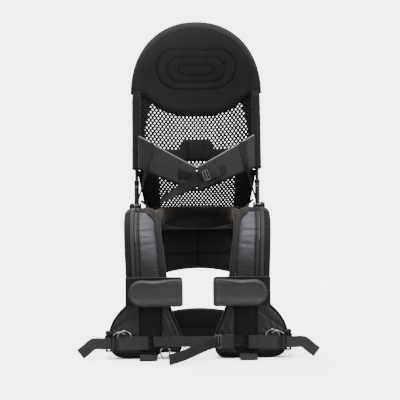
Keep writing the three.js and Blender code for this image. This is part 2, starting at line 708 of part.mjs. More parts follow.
function chestStrap() {
  const stops = [
    [-86, FRONT_Y - 1.6], [-70, FRONT_Y - 2.4], [-40, -129], [-10, CHEST_Y + 0.5], [30.5, CHEST_Y],
  ].map(([x, y]) => [V(x, y, CHEST_MID_Z), Z_AXIS]);
  add("chest_strap", strap(stops, WEBBING, 1.8), "webbing");
  const frame = new THREE.Group();
  frame.position.set(45.5, CHEST_Y, CHEST_MID_Z);
  carrier.add(frame);
  add("chest_buckle_housing", buckleHousing(22), "black_plastic", frame);
  add("chest_buckle_tongue", buckleTongue(22), "black_plastic", frame);
  const tail = [
    [33, -139, 32, V(0, 0, 1)],
    [20, -146, 29.5, V(0, 0.1, 1)],
    [2, -162, 23.5, V(0, 0.1, 1)],
    [-18, -184, 17, V(0, 0.05, 1)],
    [-37, -208, 12.5, V(0, 0.02, 1)],
    [-54, -232, 10.6, V(0, 0, 1)],
  ].map(([x, y, z, wide]) => [V(x, y, z), wide]);
  add("chest_tail", strap(tail, WEBBING + 1, 1.8), "webbing");
}

function footDetails() {
  const stops = [[-127, 7.5], [-134, 8.2], [-148, 5], [-164, 1.6]];
  addPair("foot_tab", strap(stops.map(([y, z]) => [V(96, y, z), X_AXIS]), 34, 2.6), "webbing");
  const ring = new THREE.TorusGeometry(8.4, 1.3, 6, 18).rotateX(Math.PI / 2);
  add("d_ring", ring.translate(-64.5, FRONT_Y - 5, 10.2), "bright_metal");
}

frameTubes();
shoulderPads();
neckCollar();
chestWings();
rearPads();
seat();
foldHinge();
posts();
hemBar();
meshApron();
headrest(hoop());
sleeves();
meshPanel();
beltBackPad();
beltWings();
beltBuckle();
lifterStraps();
ankleCuffs();
sideStraps();
chestStrap();
footDetails();

export default carrier;
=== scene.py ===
import math

import bpy
import numpy as np
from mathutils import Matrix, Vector, noise


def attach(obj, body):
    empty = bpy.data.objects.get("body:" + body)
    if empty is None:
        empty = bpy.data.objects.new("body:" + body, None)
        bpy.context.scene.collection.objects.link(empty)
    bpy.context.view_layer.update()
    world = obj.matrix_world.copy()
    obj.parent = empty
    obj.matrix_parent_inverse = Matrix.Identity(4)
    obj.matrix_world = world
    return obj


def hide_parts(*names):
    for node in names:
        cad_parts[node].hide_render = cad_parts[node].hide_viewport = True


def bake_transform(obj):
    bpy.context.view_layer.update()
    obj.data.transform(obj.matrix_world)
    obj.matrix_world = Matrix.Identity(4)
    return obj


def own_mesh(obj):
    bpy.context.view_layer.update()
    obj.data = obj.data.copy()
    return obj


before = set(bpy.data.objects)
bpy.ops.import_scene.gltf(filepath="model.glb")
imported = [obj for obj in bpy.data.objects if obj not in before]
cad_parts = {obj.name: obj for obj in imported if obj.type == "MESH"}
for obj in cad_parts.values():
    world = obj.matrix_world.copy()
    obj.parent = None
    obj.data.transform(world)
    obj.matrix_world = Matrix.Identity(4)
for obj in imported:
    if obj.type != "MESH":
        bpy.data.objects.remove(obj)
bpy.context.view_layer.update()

# ------------------------------------------------------------------ shared dimensions, in millimetres
# Shapes are worked out in the part's own millimetres, with y = 0 at the middle of the shoulder pads.

SHIFT = np.array([0.0, 43.8, 0.0])
POST_X = 125
PIVOT_Y, PIVOT_Z = 45, 294
LEAN = math.radians(8.5)
SLEEVE_FROM = 78
DOME_Z, DOME_POWER = 238, 2.15
HEAD_HALF, HEAD_RISE = 135, 154
SHELL_DEPTH, SHELL_RIM = 55, 0.925
PAD_HALF = 13
FRONT_Y, REAR_Y = -124, 108
HEM_Z, HEM_HALF, HEM_DEPTH = 4, 101, 66


def row(points):
    """From the part's millimetres to the frame's metres."""
    return (np.asarray(points, float) + SHIFT) / 1000


def lean(points):
    """From the backrest's own leaning frame to the part's millimetres."""
    p = np.asarray(points, float)
    c, s = math.cos(LEAN), math.sin(LEAN)
    y, z = p[..., 1], p[..., 2]
    return np.stack([p[..., 0], PIVOT_Y + y * c + z * s, PIVOT_Z - y * s + z * c], -1)


def mix(a, b, t):
    return a + (b - a) * t


def smooth(t):
    t = np.clip(t, 0, 1)
    return t * t * (3 - 2 * t)


def groove(distance, width=2.0):
    """1 on a sewn line, fading to 0 beside it."""
    return np.exp(-((distance / width) ** 2))


def unit(v):
    v = np.asarray(v, float)
    return v / np.maximum(np.linalg.norm(v, axis=-1, keepdims=True), 1e-9)


def sampled(at, run, points):
    """The points of a line, read off at other places along its run."""
    return np.stack([np.interp(at, run, points[:, k]) for k in range(points.shape[1])], -1)


def spline(points, count, closed=False):
    """count + 1 evenly spaced points on a centripetal Catmull-Rom curve."""
    p = np.asarray(points, float)
    if closed:
        ends = np.vstack([p[-1:], p, p[:2]])
    else:
        ends = np.vstack([2 * p[0] - p[1], p, 2 * p[-1] - p[-2]])
    gaps = np.maximum(np.linalg.norm(np.diff(ends, axis=0), axis=1), 1e-6) ** 0.5
    knots = np.concatenate([[0], np.cumsum(gaps)])
    fine = []
    for i in range(1, len(ends) - 2):
        t0, t1, t2, t3 = knots[i - 1 : i + 3]
        t = np.linspace(t1, t2, 24, endpoint=False)[:, None]
        a1 = (t1 - t) / (t1 - t0) * ends[i - 1] + (t - t0) / (t1 - t0) * ends[i]
        a2 = (t2 - t) / (t2 - t1) * ends[i] + (t - t1) / (t2 - t1) * ends[i + 1]
        a3 = (t3 - t) / (t3 - t2) * ends[i + 1] + (t - t2) / (t3 - t2) * ends[i + 2]
        b1 = (t2 - t) / (t2 - t0) * a1 + (t - t0) / (t2 - t0) * a2
        b2 = (t3 - t) / (t3 - t1) * a2 + (t - t1) / (t3 - t1) * a3
        fine.append((t2 - t) / (t2 - t1) * b1 + (t - t1) / (t2 - t1) * b2)
    fine = np.vstack(fine + [ends[-2:-1]])
    run = np.concatenate([[0], np.cumsum(np.linalg.norm(np.diff(fine[:, :3], axis=0), axis=1))])
    return sampled(np.linspace(0, run[-1], count + 1), run, fine)


def ripple(points, scale, seed=0.0):
    """Smooth noise from -1 to 1 at each point; scale is the size of a ripple."""
    flat = np.asarray(points, float).reshape(-1, 3) / scale + seed
    return np.array([noise.noise(Vector(p)) for p in flat]).reshape(np.shape(points)[:-1])


def xyz(x, y, z):
    """Points from their coordinates, each a number or an array."""
    return np.stack(np.broadcast_arrays(x, y, z), -1).astype(float)


def leaning(x, y, z):
    return lean(xyz(x, y, z))


# ------------------------------------------------------------------ camera

EYE = (6, -2600, 307)
ROLL = math.radians(0.65)
LENS = 115

camera = bpy.data.objects.new("camera", bpy.data.cameras.new("camera"))
bpy.context.scene.collection.objects.link(camera)
camera.location = row(EYE)
camera.rotation_euler = (math.pi / 2, ROLL, 0)
camera.data.lens = LENS
camera.data.clip_end = 50
bpy.context.scene.camera = camera


# ------------------------------------------------------------------ materials


class Look:
    """A principled material that is built up in steps."""

    def __init__(self, name, slot, colour, rough=0.8, metal=0.0, sheen=0.0, coat=0.0, specular=0.5):
        self.material = bpy.data.materials.new(name)
        self.material.use_nodes = True
        self.slot = slot
        self.tree = self.material.node_tree
        self.bsdf = self.tree.nodes["Principled BSDF"]
        self.colour = (*colour, 1)
        values = {
            "Base Color": self.colour,
            "Roughness": rough,
            "Metallic": metal,
            "Sheen Weight": sheen,
            "Sheen Roughness": 0.4,
            "Coat Weight": coat,
            "Coat Roughness": 0.25,
            "Specular IOR Level": specular,
        }
        for key, value in values.items():
            self.bsdf.inputs[key].default_value = value
        self.tint = None
        self.normal = None

    def node(self, kind, settings=None, **inputs):
        made = self.tree.nodes.new(kind)
        for key, value in (settings or {}).items():
            setattr(made, key, value)
        for key, value in inputs.items():
            numbered = key[0] == "i" and key[1:].isdigit()
            socket = made.inputs[int(key[1:]) if numbered else key.replace("_", " ")]
            if isinstance(value, bpy.types.NodeSocket):
                self.tree.links.new(value, socket)
            else:
                socket.default_value = value
        return made

    def where(self, kind):
        return self.node("ShaderNodeTexCoord").outputs[kind]

    def axis(self, number):
        """One coordinate of the piece's own place, in metres."""
        return self.node("ShaderNodeSeparateXYZ", Vector=self.where("Object")).outputs[number]

    def noise(self, size, detail=3):
        """Clouds about size millimetres wide."""
        place = self.where("Object")
        return self.node("ShaderNodeTexNoise", Vector=place, Scale=1000 / size, Detail=detail).outputs["Fac"]

    def cells(self, size):
        place = self.where("Object")
        return self.node("ShaderNodeTexVoronoi", Vector=place, Scale=1000 / size).outputs["Distance"]

    def bands(self, direction, period, kind="UV"):
        """Stripes that repeat every period millimetres."""
        settings = {"bands_direction": direction}
        place = self.where(kind)
        return self.node("ShaderNodeTexWave", settings, Vector=place, Scale=314.16 / period).outputs["Fac"]

    def math(self, operation, a, b=0.5):
        return self.node("ShaderNodeMath", {"operation": operation}, i0=a, i1=b).outputs[0]

    def ramp(self, value, low, high, out_low=0.0, out_high=1.0):
        return self.node("ShaderNodeMapRange", i0=value, i1=low, i2=high, i3=out_low, i4=out_high).outputs[0]

    def colour_over(self, mask, colour):
        """Mixes colour over the base where mask is 1: marks of the cloth, and also painted highlight and
        painted shade.
        """
        base = self.tint or self.colour
        settings = {"data_type": "RGBA"}
        made = self.node("ShaderNodeMix", settings, i0=mask, i6=base, i7=(*colour, 1))
        self.tint = made.outputs[2]
        self.tree.links.new(self.tint, self.bsdf.inputs["Base Color"])
        return self

    def mottle(self, size, low, high, most, k, detail=3):
        """Clouds of the same colour, k times as light."""
        mask = self.ramp(self.noise(size, detail), low, high, 0, most)
        return self.colour_over(mask, scaled(self.colour[:3], k))

    def roughen(self, mask, low, high):
        self.tree.links.new(self.ramp(mask, 0, 1, low, high), self.bsdf.inputs["Roughness"])
        return self

    def bump(self, height, distance, strength=0.6):
        made = self.node("ShaderNodeBump", Strength=strength, Distance=distance / 1000, Height=height)
        if self.normal:
            self.tree.links.new(self.normal, made.inputs["Normal"])
        self.normal = made.outputs["Normal"]
        self.tree.links.new(self.normal, self.bsdf.inputs["Normal"])
        return self


def scaled(colour, k):
    return tuple(min(1.0, c * k) for c in colour)


def woven(name, slot, colour, period=1.0, rough=0.85, sheen=0.3, depth=0.25, kind="UV", specular=0.3):
    """Plain weave: two crossed sets of threads, worn lighter in clouds."""
    look = Look(name, slot, colour, rough, sheen=sheen, specular=specular)
    warp = look.bands("X", period, kind)
    weft = look.bands("Y" if kind == "UV" else "Z", period, kind)
    threads = look.math("MAXIMUM", warp, weft)
    cloud = look.noise(26)
    look.colour_over(look.ramp(cloud, 0.35, 0.75, 0, 0.7), scaled(colour, 1.25))
    look.colour_over(look.ramp(threads, 0.5, 0.9, 0.45, 0), scaled(colour, 0.45))
    look.roughen(cloud, rough - 0.08, min(1, rough + 0.08))
    return look.bump(threads, depth).bump(look.noise(9, 4), 0.5, 0.35)


def ripstop(name, colour, rough, sheen):
    """Fine nylon with a grid of doubled threads and soft creases."""
    look = Look(name, "ripstop", colour, rough, sheen=sheen)
    fine = look.math("MAXIMUM", look.bands("X", 0.7), look.bands("Y", 0.7))
    lines = look.math("MAXIMUM", look.bands("X", 5.0), look.bands("Y", 5.0))
    grid_mask = look.ramp(lines, 0.93, 0.99)
    look.mottle(30, 0.35, 0.7, 0.6, 1.3)
    look.colour_over(look.math("MULTIPLY", grid_mask, 0.15), scaled(colour, 1.7))
    look.roughen(look.noise(14), rough - 0.1, rough + 0.12)
    return look.bump(fine, 0.1, 0.5).bump(grid_mask, 0.1, 0.4).bump(look.noise(13, 5), 2.2, 0.65)


def webbing(name, colour):
    """Ribbed tape: cross ribs under a slanting weave."""
    look = Look(name, "webbing", colour, 0.75, sheen=0.25, specular=0.35)
    ribs = look.bands("Y", 1.5)
    chevron = look.bands("DIAGONAL", 2.1)
    both = look.math("ADD", look.math("MULTIPLY", ribs, 0.7), look.math("MULTIPLY", chevron, 0.3))
    look.mottle(12, 0.3, 0.7, 0.5, 1.35)
    look.colour_over(look.ramp(both, 0.1, 0.6, 0.55, 0), scaled(colour, 0.5))
    look.roughen(ribs, 0.65, 0.85)
    return look.bump(both, 0.35, 0.7).bump(look.noise(5, 3), 0.15)


def moulded(name, colour, rough=0.42):
    look = Look(name, "black_plastic", colour, rough, specular=0.5)
    look.mottle(18, 0.4, 0.7, 0.5, 1.5)
    look.roughen(look.noise(3, 5), rough - 0.06, rough + 0.14)
    return look.bump(look.noise(0.5, 2), 0.05, 0.4)


def metal(name, slot, colour, rough, coat=0.0):
    look = Look(name, slot, colour, rough, metal=1.0, coat=coat)
    look.mottle(8, 0.55, 0.8, 0.35, 1.35, 6)
    look.roughen(look.noise(2.5, 6), rough * 0.7, rough * 1.5)
    return look.bump(look.noise(0.6, 3), 0.02, 0.3)


def knit(name, slot, colour, rough, sheen, size=1.1):
    """Brushed knit: fine cells under a soft nap."""
    look = Look(name, slot, colour, rough, sheen=sheen, specular=0.3)
    cells = look.cells(size)
    look.mottle(34, 0.35, 0.7, 0.6, 1.35)
    look.colour_over(look.ramp(cells, 0.1, 0.5, 0.35, 0), scaled(colour, 0.6))
    look.roughen(look.noise(12), rough - 0.06, min(1, rough + 0.06))
    return look.bump(cells, 0.2, 0.5).bump(look.noise(20, 4), 0.8, 0.3)


def spacer(name, slot, colour):
    """Black spacer mesh over foam: rows of small round eyelets."""
    look = Look(name, slot, colour, 0.85, sheen=0.2, specular=0.3)
    across, along = look.bands("X", 3.0), look.bands("Y", 2.6)
    eyelets = look.math("MULTIPLY", across, along)
    look.colour_over(look.ramp(eyelets, 0.25, 0.6, 0, 0.6), scaled(colour, 0.3))
    look.roughen(look.noise(10), 0.75, 0.95)
    return look.bump(look.math("SUBTRACT", 1.0, eyelets), 0.35, 0.6).bump(look.noise(15, 3), 0.7, 0.3)


def leatherette(name, colour):
    look = Look(name, "coated_grey", colour, 0.48, coat=0.08, specular=0.5)
    grain = look.cells(1 / 1.4)
    look.mottle(30, 0.35, 0.7, 0.5, 1.18)
    look.colour_over(look.ramp(grain, 0.0, 0.35, 0.3, 0), scaled(colour, 0.75))
    look.roughen(look.noise(7, 5), 0.42, 0.58)
    return look.bump(grain, 0.06, 0.4).bump(look.noise(22, 3), 0.7, 0.3)


HEAD = knit("head_knit", "head_fabric", (0.029, 0.0275, 0.028), 0.8, 0.28)
# Painted highlight: the headrest knit turns lighter towards its top, where the light from above falls.
HEAD.colour_over(HEAD.ramp(HEAD.axis(2), 0.575, 0.68, 0, 1), (0.08, 0.076, 0.077))
COLLAR = knit("collar_nap", "collar_fabric", (0.05, 0.043, 0.038), 0.95, 0.15, 0.9)
# Painted shade: the middle of the collar roll, at the nape, is darkened where it lies in shadow.
COLLAR_SIDE = COLLAR.math("ABSOLUTE", COLLAR.axis(0))
COLLAR.colour_over(COLLAR.ramp(COLLAR_SIDE, 0.04, 0.076, 0.95, 0), (0.014, 0.0125, 0.012))
RIPSTOP = ripstop("shoulder_ripstop", (0.127, 0.123, 0.143), 0.5, 0.35)
# Painted shade: the shoulder ripstop darkens towards the bottom of the pads, away from the light above.
RIPSTOP.colour_over(RIPSTOP.ramp(RIPSTOP.axis(2), 0.238, 0.18, 0, 0.9), (0.026, 0.025, 0.029))
RIPSTOP_DARK = ripstop("dark_ripstop", (0.035, 0.035, 0.039), 0.42, 0.25)
COATED = leatherette("flap_leatherette", (0.073, 0.073, 0.077))
WING = woven("belt_wing_cloth", "coated_grey", (0.045, 0.047, 0.05), 0.9, 0.62, 0.2, 0.12, specular=0.45)
BLACK = woven("black_cloth", "padding", (0.034, 0.0335, 0.034), 1.0, 0.88, 0.25)
SPACER = spacer("black_spacer", "padding", (0.024, 0.024, 0.025))
NET = woven("net_yarn", "mesh_fabric", (0.024, 0.024, 0.026), 0.5, 0.8, 0.1, 0.08, "Object")
BACKING = spacer("net_backing", "mesh_fabric", (0.01, 0.01, 0.011))
WEB = webbing("dark_webbing", (0.076, 0.0745, 0.074))
WEB_DULL = webbing("dull_webbing", (0.033, 0.0325, 0.032))
WEB_BLACK = webbing("black_webbing", (0.022, 0.0215, 0.0215))
PIPING = woven("black_piping", "padding", (0.012, 0.012, 0.0125), 1.2, 0.6, 0.15)
BAND = woven("shoulder_band", "ripstop", (0.036, 0.034, 0.039), 1.0, 0.6, 0.3, 0.15, specular=0.5)
TAPE = woven("grey_tape", "ripstop", (0.044, 0.0425, 0.047), 1.1, 0.6, 0.3, 0.2, specular=0.5)
REFLECT = woven("pale_piping", "coated_grey", (0.42, 0.42, 0.42), 1.1, 0.35, 0.1, 0.15, specular=0.8)
RED = woven("red_bartack", "webbing", (0.34, 0.06, 0.035), 0.8, 0.7, 0.2, 0.3)
THREAD = woven("grey_thread", "padding", (0.05, 0.05, 0.052), 0.5, 0.6, 0.1, 0.1, "Object")
PLASTIC = moulded("moulded_black", (0.013, 0.013, 0.014))
# The buckle housing is glossy black, lifted a little above the other black plastic as painted glint; the
# ladder tongue is black plastic made grey, a painted highlight for the glints on its frame.
BUCKLE = moulded("glossy_black", (0.05, 0.05, 0.052), 0.2)
BUCKLE_GLINT_GREY = moulded("grey_painted_glints", (0.19, 0.19, 0.19), 0.28)
TUBE = metal("dark_tube", "frame_metal", (0.09, 0.087, 0.078), 0.36, 0.2)
CHROME = metal("polished_steel", "bright_metal", (0.72, 0.73, 0.75), 0.16)


# ------------------------------------------------------------------ mesh builders


def finish_mesh(name, verts, faces, looks, body, corner_uv=None, zones=None, sharp=None):
    looks = looks if isinstance(looks, (list, tuple)) else [looks]
    mesh = bpy.data.meshes.new(name)
    mesh.from_pydata(row(verts).tolist(), [], faces)
    mesh.validate()
    for look in looks:
        mesh.materials.append(look.material)
    if corner_uv is not None:
        layer = mesh.uv_layers.new(name="UVMap")
        layer.data.foreach_set("uv", np.asarray(corner_uv, np.float32).ravel() / 1000)
    if zones is not None:
        mesh.polygons.foreach_set("material_index", np.asarray(zones, np.int32))
    mesh.polygons.foreach_set("use_smooth", np.ones(len(mesh.polygons), bool))
    if sharp:
        mesh.set_sharp_from_angle(angle=math.radians(sharp))
    mesh.update()
    made = bpy.data.objects.new(name, mesh)
    bpy.context.scene.collection.objects.link(made)
    if body:
        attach(made, body)
    return made


def lengths(grid):
    """Running length along both directions of a grid of points."""
    du = np.linalg.norm(np.diff(grid, axis=0), axis=-1)
    dv = np.linalg.norm(np.diff(grid, axis=1), axis=-1)
    return np.pad(np.cumsum(du, 0), ((1, 0), (0, 0))), np.pad(np.cumsum(dv, 1), ((0, 0), (1, 0)))


def swept(name, grid, looks, body, zones=None, sharp=None, closed=False):
    """A skin through rings of points; ends are capped, or joined if closed."""
    rings, around = grid.shape[:2]
    run, _ = lengths(grid)
    run = run.mean(1)
    girth = np.linalg.norm(np.diff(np.concatenate([grid, grid[:, :1]], 1), axis=1), axis=-1).mean(0)
    girth = np.concatenate([[0], np.cumsum(girth)])
    verts = grid.reshape(-1, 3)
    faces, uv, cells = [], [], []
    for i in range(rings if closed else rings - 1):
        n = (i + 1) % rings
        low = run[i]
        high = run[n] if n else run[-1] + (run[1] - run[0])
        for j in range(around):
            k = (j + 1) % around
            faces.append((i * around + j, i * around + k, n * around + k, n * around + j))
            uv += [(girth[j], low), (girth[j + 1], low), (girth[j + 1], high), (girth[j], high)]
            cells.append((i, j))
    if not closed:
        verts = np.vstack([verts, grid[0].mean(0), grid[-1].mean(0)])
        for ring, hub in ((0, rings * around), (rings - 1, rings * around + 1)):
            for j in range(around):
                k = (j + 1) % around
                a, b = ring * around + j, ring * around + k
                faces.append((a, hub, b) if ring == 0 else (a, b, hub))
                uv += [(0, 0), (0.5, 1), (1, 0)]
                cells.append((ring, j))
    index = None if zones is None else [zones(i, j) for i, j in cells]
    return finish_mesh(name, verts, faces, looks, body, uv, index, sharp)


def frames_along(path, closed=False):
    """Unit tangent, side and up along a path, with no sudden turns."""
    path = np.asarray(path, float)
    if closed:
        tangent = unit(np.roll(path, -1, 0) - np.roll(path, 1, 0))
    else:
        tangent = unit(np.gradient(path, axis=0))
    side = np.cross(tangent[0], (0, 0, 1) if abs(tangent[0][2]) < 0.9 else (1, 0, 0))
    sides = []
    for t in tangent:
        side = unit(side - t * np.dot(side, t))
        sides.append(side)
    sides = np.array(sides)
    return tangent, sides, np.cross(tangent, sides)


def tube(name, path, radius, look, body, around=12, closed=False, squeeze=1.0):
    """A round tube along a path; the radius may change along it."""
    path = np.asarray(path, float)
    _, side, up = frames_along(path, closed)
    turn = np.linspace(0, 2 * math.pi, around, endpoint=False)
    r = np.broadcast_to(np.asarray(radius, float), (len(path),))[:, None, None]
    across = np.cos(turn)[None, :, None] * side[:, None]
    along = squeeze * np.sin(turn)[None, :, None] * up[:, None]
    return swept(name, path[:, None] + r * (across + along), look, body, closed=closed)


def piping(name, path, radius, body="yoke", around=8, closed=False):
    return tube(name, path, radius, PIPING, body, around, closed)


WEB_SECTION = np.array(
    [(-1, -0.4), (-0.97, -1), (-0.5, -1), (0, -1), (0.5, -1), (0.97, -1), (1, -0.4),
     (1, 0.4), (0.97, 1), (0.5, 1), (0, 1), (-0.5, 1), (-0.97, 1), (-1, 0.4)]
)  # fmt: skip


def ribbon(name, stops, width, thick, look, body, steps=60, wave=0.0, seed=0.0):
    """Flat webbing. Each stop is a point and the direction of the tape's width."""
    line = spline(stops, steps)
    path, wide = line[:, :3], unit(line[:, 3:6])
    if wave:
        off = np.cross(unit(np.gradient(path, axis=0)), wide)
        path = path + off * (ripple(path, 30, seed) * wave)[:, None]
    tangent = unit(np.gradient(path, axis=0))
    wide = unit(wide - tangent * np.sum(wide * tangent, 1, keepdims=True))
    normal = np.cross(tangent, wide)
    width = np.broadcast_to(np.asarray(width, float), (len(path),))[:, None, None]
    across = WEB_SECTION[None, :, :1] * wide[:, None] * width / 2
    out = WEB_SECTION[None, :, 1:] * normal[:, None] * thick / 2
    return swept(name, path[:, None] + across + out, look, body, sharp=50)


def bartack(name, centre, along, normal, length, body, count=9, width=2.2):
    """A dense zigzag of red thread across a strap."""
    along, normal = unit(along), unit(normal)
    across = np.cross(along, normal)
    points = []
    for i in range(count * 2 + 1):
        t = i / (count * 2) - 0.5
        swing = width / 2 if i % 2 else -width / 2
        points.append(centre + along * t * length + across * swing + normal * 0.25)
    return tube(name, points, 0.6, RED, body, 6)


def stitches(name, path, body, pitch=4.0, radius=0.32):
    """A row of separate stitches along a line that lies on a surface."""
    path = np.asarray(path, float)
    run = np.concatenate([[0], np.cumsum(np.linalg.norm(np.diff(path, axis=0), axis=1))])
    count = max(int(run[-1] / pitch), 1)
    verts, faces = [], []
    for i in range(count):
        s = np.array([0.0, 0.18, 0.5, 0.82, 1.0]) * 0.72 * pitch + i * pitch
        line = sampled(s, run, path)
        _, side, up = frames_along(line)
        for m, swell in enumerate((0.15, 0.8, 1.0, 0.8, 0.15)):
            for q in range(5):
                a = 2 * math.pi * q / 5
                verts.append(line[m] + radius * swell * (side[m] * math.cos(a) + up[m] * math.sin(a)))
        base = i * 25
        for m in range(4):
            for q in range(5):
                r = (q + 1) % 5
                here = base + m * 5
                faces.append((here + q, here + r, here + 5 + r, here + 5 + q))
        faces.append(tuple(base + q for q in (4, 3, 2, 1, 0)))
        faces.append(tuple(base + 20 + q for q in range(5)))
    return finish_mesh(name, np.array(verts), faces, THREAD, body)


def round_edge(distance, radius):
    t = 1 - np.clip(np.asarray(distance, float) / radius, 0, 1)
    return np.sqrt(np.maximum(1 - t * t, 0))


def eased(count):
    """0 to 1, closer together at both ends."""
    return 0.5 - 0.5 * np.cos(np.linspace(0, math.pi, count))


def pillow(name, mid, out, front, back, looks, body, zones=None, corner=6.0):
    """A closed pad round a middle surface. front and back are its half thicknesses, against and along out."""
    nu, nv = mid.shape[:2]
    run_u, run_v = lengths(mid)
    edge_u = np.minimum(run_u, run_u[-1:] - run_u)
    edge_v = np.minimum(run_v, run_v[:, -1:] - run_v)
    t = np.hypot(np.maximum(1 - edge_u / corner, 0), np.maximum(1 - edge_v / corner, 0))
    shape = np.sqrt(np.maximum(1 - np.minimum(t, 1) ** 2, 0))
    shape[0], shape[-1], shape[:, 0], shape[:, -1] = 0, 0, 0, 0
    out = np.asarray(out, float)
    skin_front = mid - out * (shape * front)[..., None]
    skin_back = mid + out * (shape * back)[..., None]
    index = np.arange(nu * nv).reshape(nu, nv)
    second = index.copy()
    second[1:-1, 1:-1] = nu * nv + np.arange((nu - 2) * (nv - 2)).reshape(nu - 2, nv - 2)
    verts = np.vstack([skin_front.reshape(-1, 3), skin_back[1:-1, 1:-1].reshape(-1, 3)])
    faces, uv, side = [], [], []
    for layer, table in enumerate((index, second)):
        for i in range(nu - 1):
            for j in range(nv - 1):
                cell = [(i, j), (i + 1, j), (i + 1, j + 1), (i, j + 1)]
                if layer:
                    cell.reverse()
                faces.append(tuple(int(table[c]) for c in cell))
                uv += [(run_u[c], run_v[c]) for c in cell]
                side.append(layer)
    made_zones = None
    if zones is not None:
        centres = np.array([verts[list(f)].mean(0) for f in faces])
        made_zones = zones(centres, np.array(side))
    made = finish_mesh(name, verts, faces, looks, body, uv, made_zones)
    outward(made)
    return made


def outward(made):
    """Turns the faces of a closed piece outwards."""
    mesh = made.data
    mesh.calc_loop_triangles()
    co = np.array([v.co for v in mesh.vertices])
    tri = np.array([t.vertices[:] for t in mesh.loop_triangles])
    volume = np.einsum("ij,ij->i", co[tri[:, 0]], np.cross(co[tri[:, 1]], co[tri[:, 2]])).sum()
    if volume < 0:
        mesh.flip_normals()


def disc_rings(outline, hub, rings):
    """Rings from near the hub to the outline, closer together near it, and their distance from it."""
    inner = np.linspace(0.08, 0.86, rings - 8)
    shares = np.concatenate([inner, mix(0.88, 1.0, np.sin(np.linspace(0, math.pi / 2, 8)))])
    reach = np.linalg.norm(outline - hub, axis=1)
    flats = np.array([hub + s * (outline - hub) for s in shares])
    return flats, np.array([(1 - s) * reach for s in shares])


def disc_pad(name, outline, hub, front_y, back_y, looks, body, corner, relief, zones=None, rings=40):
    """A closed pad from an outline in x and z. relief(x, z, edge) adds to its front, in mm."""
    hub = np.asarray(hub, float)
    n = len(outline)
    flats, edges = disc_rings(outline, hub, rings)
    count = len(flats)
    x, z = flats[..., 0], flats[..., 1]
    height = (back_y - front_y) / 2 * round_edge(edges, corner)
    extra = relief(x, z, edges)
    height[-1] = extra[-1] = 0
    middle_y = (front_y + back_y) / 2
    front = xyz(x, middle_y - height - extra, z)
    back = xyz(x, middle_y + height, z)[:-1]
    far_inside = np.array([99.0])
    hub_y = front_y - float(relief(hub[:1], hub[1:], far_inside)[0])
    middles = xyz(hub[0], np.array((hub_y, back_y)), hub[1])
    verts = np.vstack([front.reshape(-1, 3), back.reshape(-1, 3), middles])
    first_back, hubs = count * n, count * n + (count - 1) * n
    faces = []
    for layer in (0, 1):
        for i in range(count - 1):
            for j in range(n):
                k = (j + 1) % n
                inner, outer = i * n, (i + 1) * n
                if layer:
                    inner = first_back + i * n
                    outer = first_back + (i + 1) * n if i + 1 < count - 1 else (count - 1) * n
                quad = (inner + j, outer + j, outer + k, inner + k)
                faces.append(quad if layer else quad[::-1])
        start = first_back if layer else 0
        for j in range(n):
            k = (j + 1) % n
            faces.append((hubs + layer, start + j, start + k) if layer else (hubs, start + k, start + j))
    uv = [(verts[v][0], verts[v][2]) for f in faces for v in f]
    index = None
    if zones is not None:
        index = zones(np.array([verts[list(f)].mean(0) for f in faces]))
    made = finish_mesh(name, verts, faces, looks, body, uv, index)
    outward(made)
    return made


def smooth_loop(points, count):
    return spline(points, count, closed=True)[:-1]


def applied(made):
    """Applies all modifiers to the mesh."""
    graph = bpy.context.evaluated_depsgraph_get()
    mesh = bpy.data.meshes.new_from_object(made.evaluated_get(graph), depsgraph=graph)
    made.modifiers.clear()
    made.data = mesh


PUFF_FRAMES, PUFF_PRESSURE, PUFF_CAP = 15, 4.0, 3.0


def puff(made, pins):
    """Swells a stuffed piece with a short cloth simulation. pins(points) is up to 1 where it is sewn."""
    mesh = made.data
    rest = np.array([v.co for v in mesh.vertices])
    weights = pins(rest * 1000 - SHIFT)
    group = made.vertex_groups.new(name="pins")
    for i in np.nonzero(weights > 0.05)[0]:
        group.add([int(i)], float(min(weights[i], 1)), "REPLACE")
    settings = made.modifiers.new("cloth", "CLOTH").settings
    settings.quality = 4
    settings.mass = 0.2
    settings.use_pressure = True
    settings.uniform_pressure_force = PUFF_PRESSURE
    settings.effector_weights.gravity = 0
    settings.bending_stiffness = 0.4
    settings.tension_stiffness = settings.compression_stiffness = 12
    settings.vertex_group_mass = "pins"
    settings.pin_stiffness = 1.0
    scene = bpy.context.scene
    for step in range(PUFF_FRAMES):
        scene.frame_set(step + 1)
    graph = bpy.context.evaluated_depsgraph_get()
    moved = made.evaluated_get(graph).to_mesh()
    after = np.array([v.co for v in moved.vertices])
    made.evaluated_get(graph).to_mesh_clear()
    made.modifiers.clear()
    made.vertex_groups.clear()
    scene.frame_set(1)
    if len(after) == len(rest) and np.isfinite(after).all():
        shift = after - rest
        far = np.linalg.norm(shift, axis=1, keepdims=True) * 1000
        shift *= np.minimum(1, PUFF_CAP / np.maximum(far, 1e-6))
        mesh.vertices.foreach_set("co", (rest + shift).astype(np.float32).ravel())
        mesh.update()


def bevelled(name, boxes, look, body, bevel, transform=None):
    """Several boxes with rounded edges, as one moulded piece. Each box is its low and high corner."""
    verts, faces = [], []
    for low, high in boxes:
        base = len(verts)
        for x in (low[0], high[0]):
            for y in (low[1], high[1]):
                for z in (low[2], high[2]):
                    verts.append((x, y, z))
        for f in ((0, 1, 3, 2), (4, 6, 7, 5), (0, 4, 5, 1), (2, 3, 7, 6), (0, 2, 6, 4), (1, 5, 7, 3)):
            faces.append(tuple(base + k for k in f))
    points = np.array(verts, float)
    if transform is not None:
        points = transform(points)
    made = finish_mesh(name, points, faces, look, None)
    made.modifiers.new("bevel", "BEVEL").width = bevel / 1000
    made.modifiers["bevel"].segments = 3
    made.modifiers["bevel"].limit_method = "ANGLE"
    applied(made)
    made.data.polygons.foreach_set("use_smooth", np.ones(len(made.data.polygons), bool))
    made.data.set_sharp_from_angle(angle=math.radians(40))
    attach(made, body)
    return made


